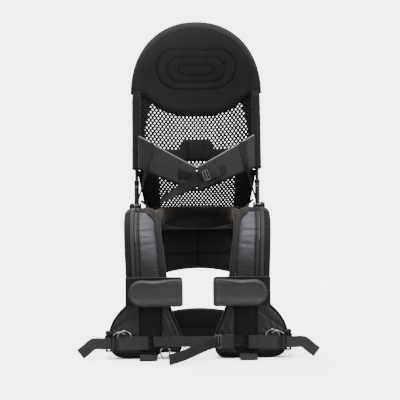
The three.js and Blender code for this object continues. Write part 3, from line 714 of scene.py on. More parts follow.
def turned(name, start, end, profile, look, body, around=28):
    """A turned piece: profile gives (share of the way, radius) from start to end."""
    start, end = np.asarray(start, float), np.asarray(end, float)
    axis = unit(end - start)
    side = unit(np.cross(axis, (0, 0, 1) if abs(axis[2]) < 0.9 else (1, 0, 0)))
    up = np.cross(axis, side)
    turn = np.linspace(0, 2 * math.pi, around, endpoint=False)
    rings = []
    for share, radius in profile:
        centre = mix(start, end, share)
        rings.append([centre + radius * (side * math.cos(a) + up * math.sin(a)) for a in turn])
    return swept(name, np.array(rings), look, body, sharp=35)


SIDES = (("left", -1), ("right", 1))


def flip(points, sign):
    """Mirrors points, or the stops of a ribbon, if sign is -1."""
    points = np.array(points, float)
    points[..., 0] *= sign
    if points.shape[-1] == 6:
        points[..., 3] *= sign
    return points


def stands_for(made, node):
    """Hides the CAD node that a piece replaces."""
    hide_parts(node)
    return made


# ------------------------------------------------------------------ backrest


def dome_share(x, z):
    """0 on the middle line of the backrest, 1 on its outer edge."""
    rise = np.maximum(np.asarray(z, float) - DOME_Z, 0) / HEAD_RISE
    return (np.abs(np.asarray(x, float) / HEAD_HALF) ** DOME_POWER + rise**DOME_POWER) ** (1 / DOME_POWER)


def shell_depth(x, z):
    """How far the cupped backrest lies behind its rim."""
    return SHELL_DEPTH * (1 - np.minimum(dome_share(x, z) / SHELL_RIM, 1) ** 2)


def dome_top(x):
    """Height of the top edge of the backrest."""
    return DOME_Z + HEAD_RISE * (1 - np.minimum(np.abs(x / HEAD_HALF), 1) ** DOME_POWER) ** (1 / DOME_POWER)


def head_bottom(x):
    """Height of the lower edge of the headrest."""
    return 204 + 33 * np.minimum(np.abs(np.asarray(x, float)) / 106, 1) ** 3


BACK = lean((0, 1, 0)) - lean((0, 0, 0))


def on_shell(x, z, lift=0.0):
    """A point on the front of the backrest, lifted towards the child by lift."""
    return leaning(x, shell_depth(x, z) - lift, z)


def stadium(x, z, half_length, half_height):
    """Distance from the outline of a rounded bar."""
    reach = np.maximum(np.abs(x) - (half_length - half_height), 0)
    return np.abs(np.hypot(reach, z) - half_height)


def headrest():
    u, v = np.meshgrid(eased(190), eased(130), indexing="ij")
    x = HEAD_HALF * np.sin((u - 0.5) * math.pi) * 0.999
    z = mix(head_bottom(x), dome_top(x), v)
    mid = on_shell(x, z)
    emblem_z = z - 298
    emboss = np.zeros_like(x)
    for length, height in ((84, 40), (61, 25), (37, 10)):
        emboss += groove(stadium(x, emblem_z, length, height), 1.3)
    crown = 1.6 * np.exp(-((x / 95) ** 4) - (emblem_z / 60) ** 4)
    front = 8.5 + crown - 5.6 * emboss + 0.9 * ripple(mid, 38)
    front -= 2.8 * groove(dome_share(x, z) - SHELL_RIM, 0.06)
    back = 8.3 + 0.5 * ripple(mid, 45, 9.0)
    pad = pillow("headrest", mid, BACK, front, back, HEAD, "backrest", corner=17)
    stands_for(pad, "headrest_pad")

    x = HEAD_HALF * np.sin(np.linspace(-0.5, 0.5, 160) * math.pi)
    tube("headrest_piping", leaning(x * 1.004, 0, dome_top(x) + 0.6), 1.5, HEAD, "backrest", 10)
    x = np.linspace(-HEAD_HALF + 6, HEAD_HALF - 6, 120)
    radius = 2.3 * np.sqrt(round_edge(HEAD_HALF - 5 - np.abs(x), 8))
    piping("headrest_hem", on_shell(x, head_bottom(x) - 0.4, 1.0), radius, "backrest", 10)
    x = np.linspace(-118, 118, 120)
    stitches("headrest_stitches", on_shell(x, head_bottom(x) + 6.5, 8.9), "backrest", 4.2)


def hoop():
    """The bent rod round the backrest, and the padded sleeve on each of its legs."""
    leg = xyz(-POST_X, 0, np.linspace(28.5, DOME_Z - 8, 30))
    turn = np.linspace(math.pi, 0, 90)
    c, s = np.cos(turn), np.sin(turn)
    power = 2 / DOME_POWER
    arc = xyz(np.sign(c) * np.abs(c) ** power * POST_X, 0, DOME_Z + np.abs(s) ** power * 144)
    path = np.vstack([leg, arc, flip(leg, -1)[::-1]])
    stands_for(tube("hoop_rod", lean(path), 3.5, TUBE, "backrest", 16), "backrest_hoop")

    for side, sign in SIDES:
        z = np.linspace(SLEEVE_FROM, float(head_bottom(116)) + 7, 70)
        path = leaning(sign * POST_X, 0, z)
        share = (z - z[0]) / (z[-1] - z[0])
        radius = 9.2 + 0.45 * ripple(path * [1, 1, 2], 22, 3.0 * sign)
        radius -= 1.2 * groove(share, 0.012) + 2.4 * smooth((share - 0.9) / 0.1)
        sleeve = tube(f"sleeve_{side}", path, radius, BLACK, "backrest", 22, squeeze=1.02)
        stands_for(sleeve, f"side_sleeve_{side}")
        turn = np.linspace(0, 2 * math.pi, 33)[:-1]
        ring = leaning(sign * POST_X + 9.4 * np.cos(turn), 9.4 * np.sin(turn), SLEEVE_FROM + 3)
        piping(f"sleeve_hem_{side}", ring, 1.3, "backrest", closed=True)


PITCH_X, PITCH_Z, HOLE = 8.0, 5.7, (1.5, 1.72)
NET_BEND, NET_SQUEEZE = 100, 0.78
LOW_HOLE = 0.7
NET_THICK = 1.1


def net_height(s):
    """Height of a row of holes: the rows lie closer together in the lower part."""
    return np.where(s > NET_BEND, s, NET_BEND - (NET_BEND - s) * NET_SQUEEZE)


def lattice(keep, size=1.0):
    """Open net in the flat: points and faces of a honeycomb with a round hole in each cell."""
    ring = np.linspace(0, 2 * math.pi, 12, endpoint=False) + math.pi / 2
    hole = size * np.stack([HOLE[0] * np.cos(ring), HOLE[1] * np.sin(ring)], -1)
    half = PITCH_X / 2
    tip = (half**2 + PITCH_Z**2) / (2 * PITCH_Z)
    hip = (PITCH_Z**2 - half**2) / (2 * PITCH_Z)
    corners = np.array([(0, tip), (-half, hip), (-half, -hip), (0, -tip), (half, -hip), (half, hip)])
    edge = np.empty((12, 2))
    edge[0::2] = corners
    edge[1::2] = (corners + np.roll(corners, -1, 0)) / 2
    points, faces, known = [], [], {}

    def vertex(p):
        key = (round(p[0] * 20), round(p[1] * 20))
        if key not in known:
            known[key] = len(points)
            points.append(p)
        return known[key]

    for j in range(-4, 42):
        for i in range(-17, 18):
            centre = np.array([i * PITCH_X + (j % 2) * half, j * PITCH_Z])
            if not keep(centre[0], float(net_height(centre[1]))):
                continue
            outer = [vertex(centre + e) for e in edge]
            inner = list(range(len(points), len(points) + 12))
            points.extend(centre + h for h in hole)
            for k in range(12):
                n = (k + 1) % 12
                faces.append((outer[k], outer[n], inner[n], inner[k]))
    flat = np.array(points)
    flat[:, 1] = net_height(flat[:, 1])
    return flat, faces


def apron_half(z):
    """Half width of the net below the sleeves."""
    return mix(HEM_HALF, 114, np.clip((z - HEM_Z) / (SLEEVE_FROM - HEM_Z), 0, 1))


def apron_edge(z):
    """Outer edge of the double layer beside the apron."""
    return mix(106, 122, np.clip((z - HEM_Z) / (SLEEVE_FROM - HEM_Z), 0, 1) ** 0.8)


def apron_depth(x, z):
    v = np.clip((z - HEM_Z - 3) / (SLEEVE_FROM - HEM_Z - 3), 0, 1)
    bottom = HEM_DEPTH - 9 * (x / HEM_HALF) ** 2
    return mix(bottom, shell_depth(x, SLEEVE_FROM), v)


def net_point(flat):
    x, z = flat[:, 0].copy(), flat[:, 1]
    low = z < SLEEVE_FROM
    x = np.where(low, x * apron_half(z) / 114, x)
    return leaning(x, np.where(low, apron_depth(x, z), shell_depth(x, z)), z)


def clear_half(z):
    """Half width of the single, see-through layer of the net."""
    heights = [0, 15, 73, 105, 130, 163, 200, 232]
    return np.interp(z, heights, [75, 76.5, 82, 98, 107, 109, 102.5, 94])


def solid_net(name, flat, faces, body, node):
    """A flat net put in its place on the backrest and given its thickness."""
    made = finish_mesh(name, net_point(flat), faces, NET, None)
    shell = made.modifiers.new("thick", "SOLIDIFY")
    shell.thickness = NET_THICK / 1000
    shell.offset = 0
    shell.use_rim = True
    applied(made)
    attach(made, body)
    return stands_for(made, node)


def follow_height(made, anchor_z):
    """Gives a piece between the posts and the backrest its own copy of its mesh."""
    anchor = tuple(row(lean((0, 0, anchor_z))))
    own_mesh(made)


def net():
    half = POST_X - 6
    flat, faces = lattice(lambda x, z: abs(x) < half and SLEEVE_FROM <= z < head_bottom(x) + 4)
    panel = solid_net("net_upper", flat, faces, "backrest", "mesh_panel")

    flat, faces = lattice(lambda x, z: abs(x) < half and HEM_Z < z < SLEEVE_FROM, LOW_HOLE)
    apron = solid_net("net_lower", flat, faces, "posts", "mesh_apron")
    follow_height(apron, HEM_Z)
    for side, sign in SIDES:
        side_layers(side, sign)

    bar = [(115, 1, 12.5), (112, 10, 11), (107, 26, 9), (101, 44, 6), (92, 57, HEM_Z), (76, 63, HEM_Z),
           (48, 65, HEM_Z), (0, HEM_DEPTH, HEM_Z)]  # fmt: skip
    path = lean(spline(np.vstack([bar, flip(bar[:-1], -1)[::-1]]), 150))
    stands_for(tube("hem_bar_tube", path, 2.5, TUBE, "posts", 12), "hem_bar")
    x = np.linspace(-92, 92, 100)
    z = HEM_Z + 0.5
    hem = leaning(x, apron_depth(x, z) + 0.4, z)
    tube("apron_hem", hem, 4.4 + 0.3 * ripple(hem, 14), BLACK, "posts", 16)


def side_layers(side, sign):
    """The darker second layer beside the open net, above and below the foot of the sleeve."""
    v, u = np.meshgrid(np.linspace(0, 1, 60), eased(14), indexing="ij")
    z = mix(SLEEVE_FROM + 0.5, 238, v)
    x = sign * mix(clear_half(z), 121, u)
    mid = leaning(x, shell_depth(x, z) + 3.2, z)
    upper = pillow(f"side_layer_{side}", mid, BACK, 1.0, 1.0, BACKING, "backrest", corner=1.5)
    z = np.linspace(SLEEVE_FROM + 1, 228, 80)
    x = sign * clear_half(z)
    piping(f"side_layer_seam_{side}", leaning(x, shell_depth(x, z) + 0.6, z), 1.2, "backrest")

    z = mix(HEM_Z, SLEEVE_FROM, v)
    x = sign * mix(clear_half(z), apron_edge(z), u)
    mid = leaning(x, apron_depth(x, z) + 3.0 + 4 * v, z)
    lower = pillow(f"side_layer_low_{side}", mid, BACK, 1.2, 1.2, BACKING, "posts", corner=1.5)
    follow_height(lower, HEM_Z)
    z = np.linspace(HEM_Z, SLEEVE_FROM - 1, 60)
    x = sign * apron_edge(z)
    y = apron_depth(x, z) + 2 + 4 * (z - HEM_Z) / (SLEEVE_FROM - HEM_Z)
    edge = piping(f"apron_edge_{side}", leaning(x, y, z), 2.2, "posts")
    follow_height(edge, HEM_Z)


# ------------------------------------------------------------------ child's belt


def wing_front(x):
    """Depth of the front of a belt wing, which bows towards the child's front at the middle."""
    return -(18 + 18 * (1 - (np.asarray(x, float) / 122) ** 2))


def wing_low(x):
    return mix(26, 78, np.asarray(x, float) / 121)


def wing_high(x):
    return mix(77, 148, (np.asarray(x, float) / 121) ** 1.1)


def belt_wings():
    for side, sign in SIDES:
        u, v = np.meshgrid(np.linspace(0, 1, 90), eased(36), indexing="ij")
        x = mix(0.8, 121, u)
        z = mix(wing_low(x), wing_high(x), v)
        seams = groove(x - 36, 1.5) + groove(x - 100, 1.5)
        mid = leaning(sign * x, wing_front(x) + 4, z)
        front = 4.1 + 0.8 * ripple(mid, 26, 2.0) - 1.7 * seams
        looks = [WING, RIPSTOP_DARK]
        wing = pillow(f"wing_{side}", mid, BACK, front, 3.8, looks, "backrest", outer_cloth, 4.5)
        stands_for(wing, f"belt_wing_{side}")

        x = np.linspace(1, 119, 80)
        path = leaning(sign * x, wing_front(x) + 1.4, wing_high(x) - 1.0)
        tube(f"wing_piping_{side}", path, 1.35, REFLECT, "backrest", 10)
        path = leaning(sign * x, wing_front(x) + 3.4, wing_low(x) + 0.6)
        piping(f"wing_binding_{side}", path, 2.6, "backrest", 10)
        z = np.linspace(float(wing_low(36)) + 3, float(wing_high(36)) - 3, 20)
        for name, at in (("a", 37.2), ("b", 34.2)):
            path = leaning(sign * at, wing_front(at) - 0.2, z)
            stitches(f"wing_stitches_{side}_{name}", path, "backrest", 3.4)


def outer_cloth(centres, layer):
    """The outer end of a belt wing is in another cloth."""
    return np.where(np.abs(centres[:, 0]) > 100, 1, 0)


def back_pad():
    u, v = np.meshgrid(np.linspace(0, 1, 120), eased(34), indexing="ij")
    x = mix(-106, 106, u)
    lift = np.clip(1 - np.maximum(np.abs(x) - 26, 0) / 14, 0, 1)
    z = mix(104, 127 + 22 * smooth(lift), v)
    seams = groove(np.abs(x) - 28, 1.6) + groove(np.abs(x) - 64, 1.6)
    mid = on_shell(x, z, 7.5)
    front = 4.3 - 1.6 * seams + 0.6 * ripple(mid, 20)
    pad = pillow("belt_pad", mid, BACK, front, 4, BLACK, "backrest", corner=5)
    stands_for(pad, "belt_back_pad")
    z = np.linspace(106, 146, 12)
    loop = on_shell(-4, z, 13.5 + 2 * np.sin((z - 106) / 40 * math.pi))
    stops = [(*p, 1, 0, 0) for p in loop]
    ribbon("belt_pad_loop", stops, 30, 1.6, WEB_BLACK, "backrest", 40)


BUCKLE_TILT = math.radians(20)
BUCKLE_AT = np.array([26, -42.5, 60.0])


def in_buckle(points):
    """From the belt buckle's own frame to the part's millimetres."""
    c, s = math.cos(BUCKLE_TILT), math.sin(BUCKLE_TILT)
    p = np.asarray(points, float)
    x, z = p[..., 0], p[..., 2]
    return lean(xyz(x * c - z * s, p[..., 1], x * s + z * c) + BUCKLE_AT)


def in_chest(points):
    return np.asarray(points, float) + (45.5, -133, 33.5)


def side_release(strap, width, place, body):
    """Side-release buckle: a hollow housing with side windows, and a ladder tongue with two prongs."""
    half = width / 2 + 2.5
    shell = [
        ((0, -4.5, -half), (22, -2.6, half)),
        ((0, 2.6, -half), (22, 4.5, half)),
        ((0, -3, half - 2.6), (4, 3, half)),
        ((0, -3, -half), (4, 3, -half + 2.6)),
        ((13, -3, half - 2.6), (22, 3, half)),
        ((13, -3, -half), (22, 3, -half + 2.6)),
        ((15.6, -3, -half + 1), (17.6, 3, half - 1)),
        ((20, -3.6, -half + 1), (22, 3.6, half - 1)),
        ((5, -5.0, -3.4), (12, -4.2, 3.4)),
        ((13.5, -5.1, -half + 2), (16.5, -4.2, half - 2)),
    ]
    housing = bevelled(f"{strap}_buckle_shell", shell, BUCKLE, body, 0.7, place)
    stands_for(housing, f"{strap}_buckle_housing")
    out = width / 2 + 2
    ladder = [
        ((-14, -2.6, -out), (-11.6, 2.6, out)),
        ((-8.6, -2.6, -out), (-5.9, 2.6, out)),
        ((-3, -3.2, -out), (-0.7, 3.2, out)),
        ((-14, -2.6, out - 2.2), (-0.7, 2.6, out)),
        ((-14, -2.6, -out), (-0.7, 2.6, -out + 2.2)),
        ((-1.5, -1.5, -2.6), (12.6, 1.5, 2.6)),
        ((-1.5, -1.7, width * 0.3), (6, 1.7, width * 0.42)),
        ((-1.5, -1.7, -width * 0.42), (6, 1.7, -width * 0.3)),
        ((5, -1.9, width * 0.3), (11, 1.9, width * 0.44)),
        ((5, -1.9, -width * 0.44), (11, 1.9, -width * 0.3)),
    ]
    tongue = bevelled(f"{strap}_buckle_ladder", ladder, BUCKLE_GLINT_GREY, f"{strap}_tongue", 0.6, place)
    stands_for(tongue, f"{strap}_buckle_tongue")


BELT_PULL = tuple(in_buckle((0, 0, 0)) - in_buckle((1, 0, 0)))


def belt_front():
    side_release("belt", 18, in_buckle, "backrest")
    line = []
    for x, z, off in ((-37, 63, 1.6), (-20, 58, 1.6), (-6, 54.5, 3.2), (8, 53.2, 5.0)):
        line.append((*lean((x, float(wing_front(abs(x))) - off, z)), 0.1, 0, 1))
    strap = ribbon("belt_webbing", line, 17, 1.5, WEB_BLACK, "backrest", 50)
    stands_for(strap, "belt_strap")
    anchor = tuple(row(line[0][:3]))
    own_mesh(strap)
    tack = lean((-7.5, float(wing_front(7)) - 3.6, 55))
    bartack("belt_bartack", tack, (0.1, 0, 1), (0, -1, 0), 11, "belt_tongue")

    stops = [(3, -43.4, 53, 0.28, 0, 0.96), (-6, -45, 45, 0.36, 0, 0.93), (-20, -43.2, 36, 0.4, 0, 0.9),
             (-39, -39, 27, 0.45, 0.05, 0.88), (-58, -22.5, 19, 0.5, 0.1, 0.84),
             (-75, -6, 13, 0.5, 0.1, 0.82)]  # fmt: skip
    line = [(*lean(stop[:3]), *stop[3:]) for stop in stops]
    tail = ribbon("belt_end", line, 21, 1.5, WEB_DULL, "belt_tongue", 70)
    stands_for(tail, "belt_tail")
    follow_height(tail, 62)

    line = [(*in_buckle((x, y, 0)), -0.34, 0, 0.94) for x, y in ((18, -0.5), (24, 1.5), (30, 7), (36, 11))]
    ribbon("belt_anchor", line, 17, 1.5, WEB_BLACK, "backrest", 24)


def lifters():
    """The straps from the belt wings down to the fold brackets."""
    for side, sign in SIDES:
        stops = [
            (96, float(wing_front(96)) - 1.0, 129.5, 1, 0, 0),
            (97, float(wing_front(97)) - 1.8, 108, 1, 0, 0),
            (101, float(wing_front(101)) - 3.2, 80, 0.8, -0.6, 0.15),
            (108, float(wing_front(108)) - 1.2, 58, 0.3, -0.92, 0.15),
            (115.5, -12, 32, 0.15, -0.97, 0.1),
            (123, -8.4, 7, 0.2, -0.97, 0.1),
        ]
        line = [(*lean(stop[:3]), *stop[3:]) for stop in stops]
        widths = np.interp(np.linspace(0, 1, 91), [0, 0.35, 0.7, 1], [18, 15, 11, 10])
        made = ribbon(f"lifter_{side}", flip(line, sign), widths, 1.3, WEB_DULL, "posts", 90, 0.8, 5.0 * sign)
        stands_for(made, f"lifter_strap_{side}")
        follow_height(made, 16)


# ------------------------------------------------------------------ posts and fold hinge


EARS = ((115.6, 119.4), (130.6, 134.4))


def span(sign, near, far):
    """The lower and the higher x of a piece on one side."""
    return sorted((sign * near, sign * far))


def posts():
    """Post tubes with their buttons, and the fold hinge under each."""
    tube_profile = [(0, 4.6), (0.01, 5.0), (0.99, 5.0), (1, 4.7)]
    top_cap = [(0, 5.0), (0.06, 5.5), (0.75, 5.5), (0.92, 5.0), (1, 4.3), (1.0, 3.75)]
    knuckle = [(0, 5.4), (0.08, 6.2), (0.92, 6.2), (1, 5.4)]
    height_button = [(0, 0.3), (0.02, 1.5), (0.18, 2.2), (0.4, 2.35), (1, 2.35)]
    ear = [(0, 7.2), (0.1, 8.0), (0.9, 8.0), (1, 7.2)]
    bezel = [(0, 8.0), (0.8, 8.0), (0.97, 7.3), (1, 6.5), (1, 5.9), (0.08, 5.8)]
    fold_cap = [(0, 5.2), (0.55, 5.4), (0.85, 5.0), (0.97, 3.8), (1, 2.6), (0.86, 1.4), (0.84, 0.2)]
    hinge_pin = [(0, 2.4), (0.03, 2.9), (0.97, 2.9), (1, 2.4)]
    for side, sign in SIDES:

        def on_post(name, low, high, profile, look, body="posts", around=28):
            """A turned piece between two points of the leaning frame."""
            ends = [lean((sign * x, y, z)) for x, y, z in (low, high)]
            return turned(f"{name}_{side}", *ends, profile, look, body, around)

        def on_pivot(name, near, far, profile, look, body="yoke"):
            """A turned piece round the axis of the fold."""
            ends = [(sign * x, PIVOT_Y, PIVOT_Z) for x in (near, far)]
            return turned(f"{name}_{side}", *ends, profile, look, body)

        made = on_post("post", (POST_X, 0, 3), (POST_X, 0, 49), tube_profile, TUBE)
        stands_for(made, f"post_tube_{side}")
        on_post("post_cap", (POST_X, 0, 46.5), (POST_X, 0, 55), top_cap, PLASTIC)
        on_post("knuckle", (POST_X - 4.9, 0, 0), (POST_X + 4.9, 0, 0), knuckle, TUBE)
        button = f"height_button_{side}"
        low, high = (POST_X, -7.8, 40), (POST_X, -3.9, 40)
        stands_for(on_post("height_pin", low, high, height_button, CHROME, button, 20), button)
        on_pivot("ear_in", *EARS[0], ear, PLASTIC)
        on_pivot("ear_out", *EARS[1], ear, PLASTIC)
        low, high = span(sign, EARS[0][0], EARS[1][1])
        base = [((low, PIVOT_Y - 13, 277), (high, PIVOT_Y + 13, 286.3))]
        for ends in EARS:
            low, high = span(sign, *ends)
            base.append(((low, PIVOT_Y - 7.8, 283), (high, PIVOT_Y + 7.8, 293)))
        stands_for(bevelled(f"bracket_{side}", base, PLASTIC, "yoke", 1.2), f"fold_bracket_{side}")
        on_pivot("button_bezel", 134.0, 138.1, bezel, PLASTIC)
        button = f"fold_button_{side}"
        stands_for(on_pivot("fold_cap", 136.9, 140.5, fold_cap, PLASTIC, button), button)
        stands_for(on_pivot("pin", 115.8, 134.2, hinge_pin, CHROME), f"hinge_pin_{side}")


# ------------------------------------------------------------------ yoke

# The outside of a shoulder pad, seen from the right, from its front end over the top to its rear end.
PROFILE_STEPS = 600
ARCH = [(-124, 133), (-123, 165), (-117, 200), (-104, 235), (-80, 265), (-45, 285), (0, 292), (45, 289),
        (85, 273), (112, 247), (127, 214), (131, 180), (132, 150), (132, 78.5)]  # fmt: skip
PROFILE = spline([(0, y, z) for y, z in ARCH], PROFILE_STEPS)
PROFILE_OUT = unit(xyz(0, -np.gradient(PROFILE[:, 2]), np.gradient(PROFILE[:, 1])))
PAD_POWER = 3.4


def on_profile(t):
    """The point and the outward direction at a share t of the way along the arch."""
    at = np.clip(np.asarray(t, float), 0, 1) * PROFILE_STEPS
    steps = np.arange(PROFILE_STEPS + 1)
    return sampled(at, steps, PROFILE), unit(sampled(at, steps, PROFILE_OUT))


def pad_inner(t):
    """Distance of a pad's inner edge from the middle plane."""
    t = np.asarray(t, float)
    return np.where(t < 0.35, mix(70, 85, np.minimum(t / 0.25, 1)), mix(85, 81, (t - 0.35) / 0.65))


def pad_outer(t):
    """Distance of a pad's outer edge from the middle plane."""
    return 140 + 6 * np.sin(math.pi * np.minimum(np.asarray(t, float) * 1.4, 1)) ** 1.5


def bracket_dent(x, y, z):
    """How far the pad is pressed in round the fold bracket."""
    reach = np.hypot(np.maximum(np.abs(x - 126) - 9, 0), np.maximum(np.abs(y - PIVOT_Y) - 13, 0))
    return 7.5 * (1 - smooth(reach / 9)) * (z > 250)


def pad_surface(t, x, lift=0.0):
    """A point on the outside of the right shoulder pad."""
    t, x = np.broadcast_arrays(np.asarray(t, float), np.asarray(x, float))
    point, out = on_profile(t)
    middle, half = (pad_outer(t) + pad_inner(t)) / 2, (pad_outer(t) - pad_inner(t)) / 2
    share = np.clip(np.abs(x - middle) / half, 0, 1)
    rise = PAD_HALF * (1 - share**PAD_POWER) ** (1 / PAD_POWER)
    made = point + out * (rise - PAD_HALF + lift)[..., None]
    made[..., 0] = x
    made -= out * bracket_dent(x, made[..., 1], made[..., 2])[..., None]
    return made


def arc_share(x):
    """Where the piped arc that ends the grey cloth lies along the pad."""
    return 0.35 - 0.08 * ((np.asarray(x, float) - 120) / 39) ** 2


def shoulder_pads():
    rings, around = 230, 76
    t = np.linspace(0, 1, rings)[:, None]
    angle = np.linspace(0, 2 * math.pi, around, endpoint=False)[None, :]
    point, out = on_profile(t[:, 0])
    inner, outer = pad_inner(t), pad_outer(t)
    c, s = np.cos(angle), np.sin(angle)
    across = np.sign(c) * np.abs(c) ** (2 / PAD_POWER) * (outer - inner) / 2
    rise = np.sign(s) * np.abs(s) ** (2 / PAD_POWER) * PAD_HALF
    end = np.minimum(np.minimum(t, 1 - t) * 500 / 6, 1)
    shrink = 0.9 + 0.1 * np.sqrt(1 - (1 - end) ** 2)
    grid = point[:, None] + out[:, None] * (rise * shrink - PAD_HALF)[..., None]
    grid[..., 0] = across * shrink + (outer + inner) / 2
    edge = outer - grid[..., 0]
    top = s > 0.2
    seams = groove(edge - 20.5, 1.6) + groove(edge - 29.5, 1.6)
    creases = 0.9 * ripple(grid * [0.7, 2, 2], 16) + 1.0 * ripple(grid * [1, 0.6, 0.6], 34, 4.0)
    creases += 2.3 * ripple(grid * [0.5, 1.6, 2.6], 13, 2.0) * smooth((grid[..., 2] - 195) / 40)
    creases *= mix(0.35, 1.0, smooth((edge - 27) / 10))
    beside_bracket = 1 - smooth((0.05 - np.abs(t - 0.43)) / 0.03)
    swell = 0.9 * beside_bracket * np.where(top, creases - 1.3 * seams, 0.3 * creases)
    grid += out[:, None] * swell[..., None]
    dent = np.where(s > 0, bracket_dent(grid[..., 0], grid[..., 1], grid[..., 2]), 0)
    grid -= out[:, None] * dent[..., None]
    behind = t > arc_share(grid[..., 0])
    index = np.zeros((rings, around), int)
    index[(edge > 20.5) & (edge < 29.5)] = 4
    index[(edge < 13) | (s < 0.05)] = 1
    index[behind & top & (edge >= 13)] = 3
    index[behind & top & (grid[..., 0] > 106)] = 2
    index[(t[:, 0] > 0.56)] = 2
    for side, sign in SIDES:
        looks = [RIPSTOP, SPACER, BLACK, COLLAR, BAND]
        pad = swept(f"pad_{side}", flip(grid, sign), looks, "yoke", lambda i, j: int(index[i, j]))
        outward(pad)
        stands_for(pad, f"shoulder_pad_{side}")

        t_line = np.linspace(0.02, 0.42, 120)
        outer_line = pad_outer(t_line)
        tape = [(*p, 1, 0, 0) for p in pad_surface(t_line, outer_line - 16.4, 0.7)[::4]]
        ribbon(f"pad_tape_{side}", flip(tape, sign), 6.5, 1.4, TAPE, "yoke", 110)
        for name, inset, radius in (("outer", 20.6, 1.3), ("inner", 29.5, 1.1)):
            line = pad_surface(t_line, outer_line - inset, 0.5)
            piping(f"pad_piping_{name}_{side}", flip(line, sign), radius, around=10)
        line = pad_surface(t_line, outer_line - 32.5, 0.35)
        stitches(f"pad_stitches_{side}", flip(line, sign), "yoke", 4.2)
        x = np.linspace(76, 142, 70)
        arc = pad_surface(arc_share(x), x, 0.3)
        piping(f"pad_arc_{side}", flip(arc, sign), 1.7, around=10)
        t_line = np.linspace(0.44, 0.99, 120)
        for name, x in (("", pad_outer(t_line) - 9), ("in_", pad_inner(t_line) + 9)):
            piping(f"pad_rear_seam_{name}{side}", flip(pad_surface(t_line, x, 0.1), sign), 1.2)


CORNER_RADIUS = 26


def collar():
    half = 6.2
    t = np.array([0.01, 0.08, 0.15, 0.21, 0.27, 0.33, 0.38, 0.42])
    point, out = on_profile(t)
    arm = point - 14 * out
    arm[:, 0] = pad_inner(t) - half - 0.3
    nape = [(75, 22, 278), (68, 37, 280), (55, 47, 281.5), (38, 52, 282.5), (19, 54, 283), (0, 54.5, 283)]
    stops = np.vstack([np.concatenate([arm, out], 1), [(*p, 0, 0, 1) for p in nape]])
    line = spline(np.vstack([stops, flip(stops[:-1], -1)[::-1] * [1, 1, 1, -1, 1, 1]]), 260)
    path, up = line[:, :3], unit(line[:, 3:])
    tangent = unit(np.gradient(path, axis=0))
    side = unit(np.cross(tangent, up))
    up = np.cross(side, tangent)
    angle = np.linspace(0, 2 * math.pi, 34, endpoint=False)
    c, s = np.cos(angle), np.sin(angle)
    a = np.sign(c) * np.abs(c) ** (2 / 2.6) * (half + 0.3)
    b = np.sign(s) * np.abs(s) ** (2 / 2.6)
    inside = np.clip(np.abs(path[:, 0]) - 80 + CORNER_RADIUS, 0, 0.98 * CORNER_RADIUS)
    corner = 0.5 * (CORNER_RADIUS - np.sqrt(CORNER_RADIUS**2 - inside**2)) * smooth((path[:, 1] + 5) / 25)
    tall = 12.3 - 2.5 * np.exp(-((path[:, 0] / 40) ** 2)) + corner
    path = path - up * (corner * 0.95)[:, None]
    grid = path[:, None] + a[None, :, None] * side[:, None]
    grid += (tall[:, None] * b[None])[..., None] * up[:, None]
    ripples = 0.5 * ripple(grid, 13) + 0.6 * ripple(grid, 30, 7.0)
    slant = side[:, None] * np.sign(a)[None, :, None] + up[:, None] * np.sign(b)[None, :, None]
    grid += 0.7 * ripples[..., None] * slant
    roll = swept("collar_roll", grid, COLLAR, "yoke")
    outward(roll)
    stands_for(roll, "neck_collar")


def plate_pad(name, node, half_width, low, high, front_y, looks, seams, size, zones=None):
    """An upright padded panel, 24 mm deep, with grooves where it is sewn through."""

    def sewn(points):
        return 0.95 * np.minimum(seams(points[:, 0], points[:, 2]), 1)

    u, v = np.meshgrid(eased(size[0]), eased(size[1]), indexing="ij")
    x = mix(-half_width, half_width, u)
    z = mix(low(x), high(x), v)
    mid = xyz(x, front_y + 12, z)
    thick = 12 - 2.6 * seams(x, z) + 0.6 * ripple(mid, 26)
    pad = pillow(name, mid, (0, 1, 0), thick, thick, looks, "yoke", zones, 9)
    puff(pad, sewn)
    stands_for(pad, node)


def back_top_seam(x):
    return 246 + 8 * (np.abs(x) / 78) ** 2


def back_bottom(x):
    return 152.5 + 11.5 * (1 - (x / 78) ** 2)


def back_cushion():
    def seams(x, z):
        return groove(x) + groove(z - 195) + groove(z - back_top_seam(x))

    def top(x):
        return np.full_like(x, 261.5)

    plate_pad("back_cushion", "back_panel", 77.5, back_bottom, top, REAR_Y - 4, BLACK, seams, (120, 60))
    x = np.linspace(-76, 76, 60)
    for y, name in ((REAR_Y - 2.4, "in"), (REAR_Y + 18.4, "out")):
        piping(f"back_top_seam_{name}", xyz(x, y, back_top_seam(x)), 1.1)
        piping(f"back_cross_seam_{name}", xyz(x, y, 195), 0.9)
        piping(f"back_middle_seam_{name}", xyz(0, y, np.linspace(166, 259, 40)), 0.9)
    piping("back_hem", xyz(x, REAR_Y + 8, back_bottom(x) + 0.8), 3.0, around=10)


def lumbar_top(x):
    x = np.abs(x)
    return np.where(x < 60, 70 + 6 * (1 - (x / 60) ** 2), 70 + 8 * smooth((x - 60) / 20))


def lumbar_cushion():
    def bottom(x):
        return 0.6 + 5 * smooth((np.abs(x) - 138) / 12)

    def top(x):
        return lumbar_top(x) - 5 * smooth((np.abs(x) - 138) / 12)

    def seams(x, z):
        return groove(np.abs(x) - 60, 2.4) + groove(z - 36) * (np.abs(x) < 60)

    def zones(centres, layer):
        return np.where((layer == 0) & (np.abs(centres[:, 0]) < 60), 1, 0)

    looks = [BLACK, SPACER]
    plate_pad("lumbar_cushion", "lumbar_pad", 149.5, bottom, top, REAR_Y, looks, seams, (170, 50), zones)
    x = np.linspace(-146, 146, 120)
    z = lumbar_top(x) - 0.3 - 4 * smooth((np.abs(x) - 136) / 12)
    piping("lumbar_top_piping", xyz(x, REAR_Y + 12, z), 1.8)


